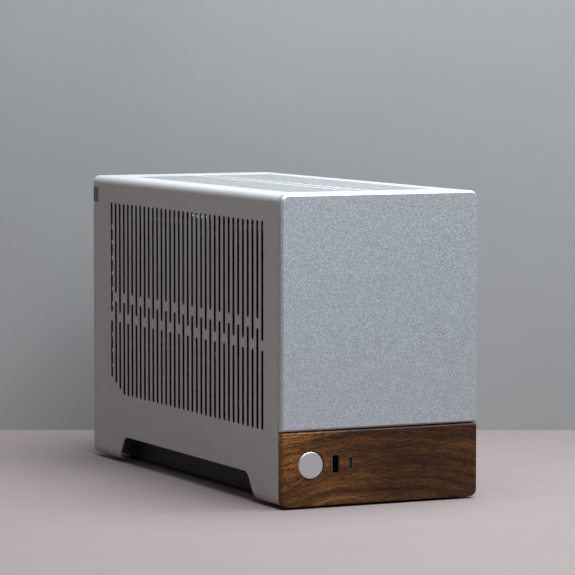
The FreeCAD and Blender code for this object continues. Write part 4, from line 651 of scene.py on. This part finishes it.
class TOWER_OT_contacts(bpy.types.Operator):
    """Gilt contacts on the tongues of the two front sockets"""
    bl_idname = "tower.contacts"
    bl_label = "Socket contacts"

    def execute(self, context):
        proud = context.scene.tower_sockets.contact_proud
        rows = row_tree("box")
        gold = FINISHES["contact_gold"]
        # For each row, in millimetres: its place across from the socket's middle, its front end behind the
        # socket's mouth, a contact's depth and height, the pitch, and how many there are.
        wide = (0.14, 1.8, (6.0, 1.1), 2.5, 4)
        slim = [(side * 0.35, 0.4, (3.5, 0.35), 0.9, 6) for side in (-1, 1)]
        meshes = []
        for node, faces in (("usb_a_port", [wide]), ("usb_c_port", slim)):
            low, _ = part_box(node)
            middle = middle_of(node)
            for face, setback, (deep, tall), pitch, count in faces:
                start = Vector((middle.x + face * MM, low[1] + (setback + deep / 2) * MM,
                                middle.z - (count - 1) / 2 * pitch * MM))
                size = Vector((2 * proud, deep * MM, tall * MM))
                meshes.append(grow("contacts", rows, Count=count, Start=start, Step=in_metres(0, 0, pitch),
                                   Size=size, Material=gold))
        show("socket_contacts", meshes, "chassis")
        return {"FINISHED"}


class ScrewSettings(bpy.types.PropertyGroup):
    case_head: FloatProperty(name="Case screws", description="Radius of the heads on the case", default=3.1 * MM,
                             unit="LENGTH")
    fan_head: FloatProperty(name="Small screws", description="Radius of the heads on fans and boards",
                            default=2.4 * MM, unit="LENGTH")


def corners_of(node, face, inset_mm):
    """The four corners of a node's box on one face, moved in from its edges."""
    low, high = (Vector(corner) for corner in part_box(node))
    axis = "XYZ".index(face[1])
    level = (high if face[0] == "+" else low)[axis]
    others = [i for i in range(3) if i != axis]
    places = []
    for first in (low, high):
        for second in (low, high):
            place = Vector((0.0, 0.0, 0.0))
            place[axis] = level
            for i, end in zip(others, (first, second)):
                place[i] = end[i] + (1 if end is low else -1) * inset_mm * MM
            places.append(place)
    return places


class TOWER_OT_screws(bpy.types.Operator):
    """Cross-recessed screws on the rear panel, supply, fans, boards and card"""
    bl_idname = "tower.screws"
    bl_label = "Screws"

    def execute(self, context):
        settings = context.scene.tower_screws
        tree = screw_tree()
        steel = FINISHES["plated_steel"]
        bracket_low, bracket_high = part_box("card_bracket")
        panel_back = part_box("rear_panel")[1][1]
        below_top, from_end = 4 * MM, 10 * MM
        bays = [Vector((x, panel_back, bracket_high[2] - below_top))
                for x in (bracket_low[0] + from_end, bracket_high[0] - from_end)]
        groups = (
            (corners_of("rear_panel", "+Y", 13), "+Y", settings.case_head),
            (bays, "+Y", settings.case_head),
            (corners_of("psu_case", "-X", 6), "-X", settings.case_head),
            (corners_of("cooler_fan_frame", "-X", 5), "-X", settings.fan_head),
            (corners_of("motherboard", "-X", 7), "-X", settings.fan_head),
            (corners_of("card_shroud", "+X", 5), "+X", settings.fan_head),
        )
        meshes = [grow("screws", tree, points_mesh("screw_places", places), Radius=radius, Turn=FACING[facing],
                       Material=steel) for places, facing, radius in groups]
        show("screws", meshes, "chassis")
        return {"FINISHED"}


class BoardSettings(bpy.types.PropertyGroup):
    can_radius: FloatProperty(name="Capacitor radius", description="Radius of the board's capacitors",
                              default=3.1 * MM, unit="LENGTH")
    can_tall: FloatProperty(name="Capacitor height", description="Height of the board's capacitors",
                            default=9.0 * MM, unit="LENGTH")
    choke: FloatProperty(name="Choke", description="Side of the board's square chokes", default=7.0 * MM,
                         unit="LENGTH")


class TOWER_OT_board_parts(bpy.types.Operator):
    """Capacitors, chokes and chips on the main board"""
    bl_idname = "tower.board_parts"
    bl_label = "Board parts"

    def execute(self, context):
        settings = context.scene.tower_board
        board_low = Vector(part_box("motherboard")[0])
        face = board_low.x
        cans, boxes = row_tree("can"), row_tree("box")

        def row(tree, place, step, count, size, material):
            """A row standing on the board, its first piece at a place from the board's lower front corner."""
            start = Vector((face - size[2] / 2, board_low.y + place[0] * MM, board_low.z + place[1] * MM))
            turn = FACING["-X"] if tree is cans else (0.0, 0.0, 0.0)
            box = Vector(size) if tree is cans else Vector((size[2], size[0], size[1]))
            return grow("row", tree, Count=count, Start=start, Step=in_metres(0, *step), Size=box, Turn=turn,
                        Material=material)

        # Each row's first place and its step are along and up the board, in millimetres.
        can = (settings.can_radius, settings.can_radius, settings.can_tall)
        choke = (settings.choke, settings.choke, settings.choke * 0.8)
        meshes = [row(cans, (72, 152), (9, 0), 7, can, FINISHES["can_aluminium"]),
                  row(cans, (36, 16), (8, 0), 2, can, FINISHES["can_aluminium"]),
                  row(cans, (150, 34), (0, 9), 3, can, FINISHES["can_aluminium"])]
        show("capacitors", meshes, "chassis")
        epoxy = FINISHES["epoxy"]
        meshes = [row(boxes, (140, 78), (0, 9), 8, choke, epoxy),
                  row(boxes, (40, 58), (0, 0), 1, (14 * MM, 14 * MM, 1.2 * MM), epoxy),
                  row(boxes, (60, 50), (12, 0), 4, (6 * MM, 5 * MM, 1.0 * MM), epoxy),
                  row(boxes, (36, 80), (0, 11), 6, (3.2 * MM, 4 * MM, 0.9 * MM), epoxy)]
        show("chips_and_chokes", meshes, "chassis")
        return {"FINISHED"}


class MemorySettings(bpy.types.PropertyGroup):
    ribs: IntProperty(name="Ribs", description="Ribs along each memory module's heat spreader", default=22, min=2)


class TOWER_OT_memory_ribs(bpy.types.Operator):
    """Ribs on the memory modules' heat spreaders"""
    bl_idname = "tower.memory_ribs"
    bl_label = "Memory ribs"

    def execute(self, context):
        count = context.scene.tower_memory.ribs
        rows = row_tree("box")
        low, high = (Vector(corner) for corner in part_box("memory_modules"))
        end_margin, from_edge = 3 * MM, 9 * MM
        module_thick, rib_proud, rib_long = 5 * MM, 0.4 * MM, 14 * MM
        step = (high.z - low.z - 2 * end_margin) / (count - 1)
        meshes = []
        for middle in (low.y + module_thick / 2, high.y - module_thick / 2):
            start = Vector((low.x + from_edge, middle, low.z + end_margin))
            meshes.append(grow("ribs", rows, Count=count, Start=start, Step=Vector((0, 0, step)),
                               Size=Vector((rib_long, module_thick + 2 * rib_proud, step / 2)),
                               Material=FINISHES["module_finish"]))
        show("memory_ribs", meshes, "chassis")
        return {"FINISHED"}


class FanSettings(bpy.types.PropertyGroup):
    chord_turn: FloatProperty(name="Blade pitch", description="Pitch of a blade at its root", default=0.95,
                              subtype="ANGLE")
    blade_sheet: FloatProperty(name="Blade thickness", description="Thickness of a blade", default=1.1 * MM,
                               unit="LENGTH")


BLADE_ROOT = 0.94      # a blade's root inside its hub, over the hub's radius
BLADE_UNTWIST = 0.38   # how much of the root's pitch is gone at the tip
BLADE_SWEEP = 0.28     # how far the tip is swept round, in radians
BLADE_REACH = 0.92     # a blade's depth over the rotor's
BLADE_CAMBER = 0.06    # the camber over the chord


def blade_mesh(hub, tip, depth, pitch, sheet):
    """One closed, swept and twisted blade that rises along +Z from a hub about the X axis, in metres."""
    steps_out, steps_across = 8, 6
    root = hub * BLADE_ROOT
    made = bmesh.new()
    rows = {}
    for side in (0, 1):
        for i in range(steps_out + 1):
            share = i / steps_out
            radius = root + (tip - root) * share
            turn = pitch * (1 - BLADE_UNTWIST * share)
            sweep = BLADE_SWEEP * share ** 1.5
            chord = depth * BLADE_REACH / math.cos(turn)
            for j in range(steps_across + 1):
                across = (j / steps_across - 0.5) * chord
                camber = BLADE_CAMBER * chord * (1 - (2 * j / steps_across - 1) ** 2)
                off = camber + (side - 0.5) * sheet
                along = across * math.cos(turn) - off * math.sin(turn)
                round_by = (across * math.sin(turn) + off * math.cos(turn)) / radius + sweep
                rows[side, i, j] = made.verts.new((along, radius * math.sin(round_by),
                                                   radius * math.cos(round_by)))
    for i in range(steps_out):
        for j in range(steps_across):
            quad = [(i, j), (i + 1, j), (i + 1, j + 1), (i, j + 1)]
            made.faces.new([rows[0, *at] for at in quad])
            made.faces.new([rows[1, *at] for at in reversed(quad)])
    rim = [(i, 0) for i in range(steps_out)] + [(steps_out, j) for j in range(steps_across)]
    rim += [(i, steps_across) for i in range(steps_out, 0, -1)] + [(0, j) for j in range(steps_across, 0, -1)]
    for here, there in zip(rim, rim[1:] + rim[:1]):
        made.faces.new([rows[0, *there], rows[0, *here], rows[1, *here], rows[1, *there]])
    bmesh.ops.recalc_face_normals(made, faces=made.faces)
    for face in made.faces:
        face.smooth = True
    mesh = bpy.data.meshes.new("blade")
    made.to_mesh(mesh)
    made.free()
    return mesh


def hub_mesh(centre, radius, depth, material):
    """The fan's cup, closed, about the X axis and with a rounded rim."""
    made = bmesh.new()
    bmesh.ops.create_cone(made, cap_ends=True, segments=64, radius1=radius, radius2=radius, depth=depth)
    rims = [edge for edge in made.edges if abs(edge.verts[0].co.z - edge.verts[1].co.z) < depth / 4]
    bmesh.ops.bevel(made, geom=rims, offset=1.0 * MM, segments=3, affect="EDGES", profile=0.5)
    for vertex in made.verts:
        vertex.co = Vector((vertex.co.z, vertex.co.y, -vertex.co.x)) + centre
    bmesh.ops.recalc_face_normals(made, faces=made.faces)
    mesh = bpy.data.meshes.new("hub")
    made.to_mesh(mesh)
    made.free()
    mesh.materials.append(material)
    return mesh


class TOWER_OT_fans(bpy.types.Operator):
    """Twisted blades in place of the plain rotors"""
    bl_idname = "tower.fans"
    bl_label = "Fan rotors"

    def execute(self, context):
        settings = context.scene.tower_fans
        tree = ring_tree()
        plastic = FINISHES["black_plastic"]
        # Each rotor's node, its body, its hub's radius in millimetres and how many blades it has.
        rotors = (("cooler_fan_rotor", "cooler_fan", 15, 7), ("card_fan_front", "card_fan_a", 14, 9),
                  ("card_fan_rear", "card_fan_b", 14, 9), ("psu_fan_rotor", "psu_fan", 16, 9))
        for node, body, hub, blades in rotors:
            low, high = (Vector(corner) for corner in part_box(node))
            centre = (low + high) / 2
            depth = high.x - low.x
            tip = (high.z - low.z) / 2
            blade = blade_mesh(hub * MM, tip, depth, settings.chord_turn, settings.blade_sheet)
            ring = grow(node, tree, blade, Count=blades, Centre=centre, Material=plastic)
            cup = hub_mesh(centre, hub * MM, depth, plastic)
            show(f"{node}_moulded", [cup, ring], body, replaced=(node,))
        return {"FINISHED"}


class PortSettings(bpy.types.PropertyGroup):
    tongue: FloatProperty(name="Tongue", description="Thickness of the rear sockets' tongues", default=1.6 * MM,
                          unit="LENGTH")


class TOWER_OT_rear_ports(bpy.types.Operator):
    """Tongues and contacts in the board's rear sockets"""
    bl_idname = "tower.rear_ports"
    bl_label = "Rear sockets"

    def execute(self, context):
        tongue = context.scene.tower_ports.tongue
        rows = row_tree("box")
        low, high = (Vector(corner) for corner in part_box("io_ports"))
        plastic, gold = FINISHES["black_plastic"], FINISHES["contact_gold"]
        # The middles of the five stacks that hold two sockets each, above the lowest one's foot.
        stacks = (8, 31, 55, 78, 98)
        in_stack, pitch = 2, 6.8
        step = in_metres(0, 0, pitch)
        from_board, from_mouth = 7.5 * MM, 1.6 * MM
        tongues, contacts = [], []
        for middle in stacks:
            start = Vector((high.x - from_board, high.y - from_mouth, low.z + (middle - pitch / 2) * MM))
            tongues.append(grow("tongues", rows, Count=in_stack, Start=start, Step=step,
                                Size=Vector((8 * MM, 2.9 * MM, tongue)), Material=plastic))
            for across in (-2.7, -0.9, 0.9, 2.7):
                contacts.append(grow("contacts", rows, Count=in_stack,
                                     Start=start + Vector((across * MM, 0.1 * MM, tongue / 2)), Step=step,
                                     Size=in_metres(0.9, 2.2, 0.16), Material=gold))
        show("rear_tongues", tongues, "chassis")
        show("rear_contacts", contacts, "chassis")
        return {"FINISHED"}


class StitchSettings(bpy.types.PropertyGroup):
    stitch: FloatProperty(name="Stitch", description="Length of a stitch on the pull tabs", default=1.5 * MM,
                          unit="LENGTH")


class TOWER_OT_stitches(bpy.types.Operator):
    """A row of stitches down each pull tab"""
    bl_idname = "tower.stitches"
    bl_label = "Tab stitches"

    def execute(self, context):
        length = context.scene.tower_stitches.stitch
        rows = row_tree("box")
        from_corner = in_metres(0, 5.5, 5)
        thread = (0.3 * MM, 0.45 * MM)
        for name, side in (("left", -1), ("right", 1)):
            low, high = (Vector(corner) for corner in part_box(f"pull_tab_{name}"))
            face = low.x if side < 0 else high.x
            start = Vector((face, low.y, low.z)) + from_corner
            mesh = grow("stitches", rows, Count=4, Start=start, Step=Vector((0, 0, length * 1.6)),
                        Size=Vector((*thread, length)), Material=FINISHES["tab_webbing"])
            show(f"tab_stitches_{name}", [mesh], f"door_{name}")
        return {"FINISHED"}


class TOWER_PT_panel(bpy.types.Panel):
    """Lists the tower's operators in the sidebar"""
    bl_label = "Tower"
    bl_idname = "TOWER_PT_panel"
    bl_space_type = "VIEW_3D"
    bl_region_type = "UI"
    bl_category = "Tower"

    def draw(self, context):
        for operator in OPERATORS:
            self.layout.operator(operator.bl_idname)


SETTINGS = {
    "tower_stage": StageSettings, "tower_finish": FinishSettings, "tower_sockets": SocketSettings,
    "tower_screws": ScrewSettings, "tower_board": BoardSettings, "tower_memory": MemorySettings,
    "tower_fans": FanSettings, "tower_ports": PortSettings, "tower_stitches": StitchSettings,
}
OPERATORS = (TOWER_OT_stage, TOWER_OT_finishes, TOWER_OT_contacts, TOWER_OT_screws, TOWER_OT_board_parts,
             TOWER_OT_memory_ribs, TOWER_OT_fans, TOWER_OT_rear_ports, TOWER_OT_stitches)
CLASSES = (*SETTINGS.values(), *OPERATORS, TOWER_PT_panel)


def register():
    for each in CLASSES:
        bpy.utils.register_class(each)
    for name, group in SETTINGS.items():
        setattr(bpy.types.Scene, name, PointerProperty(type=group))


def unregister():
    for name in SETTINGS:
        delattr(bpy.types.Scene, name)
    for each in reversed(CLASSES):
        bpy.utils.unregister_class(each)


def main():
    register()
    for operator in OPERATORS:
        getattr(bpy.ops.tower, operator.bl_idname.split(".")[1])()


if __name__ == "__main__":
    main()
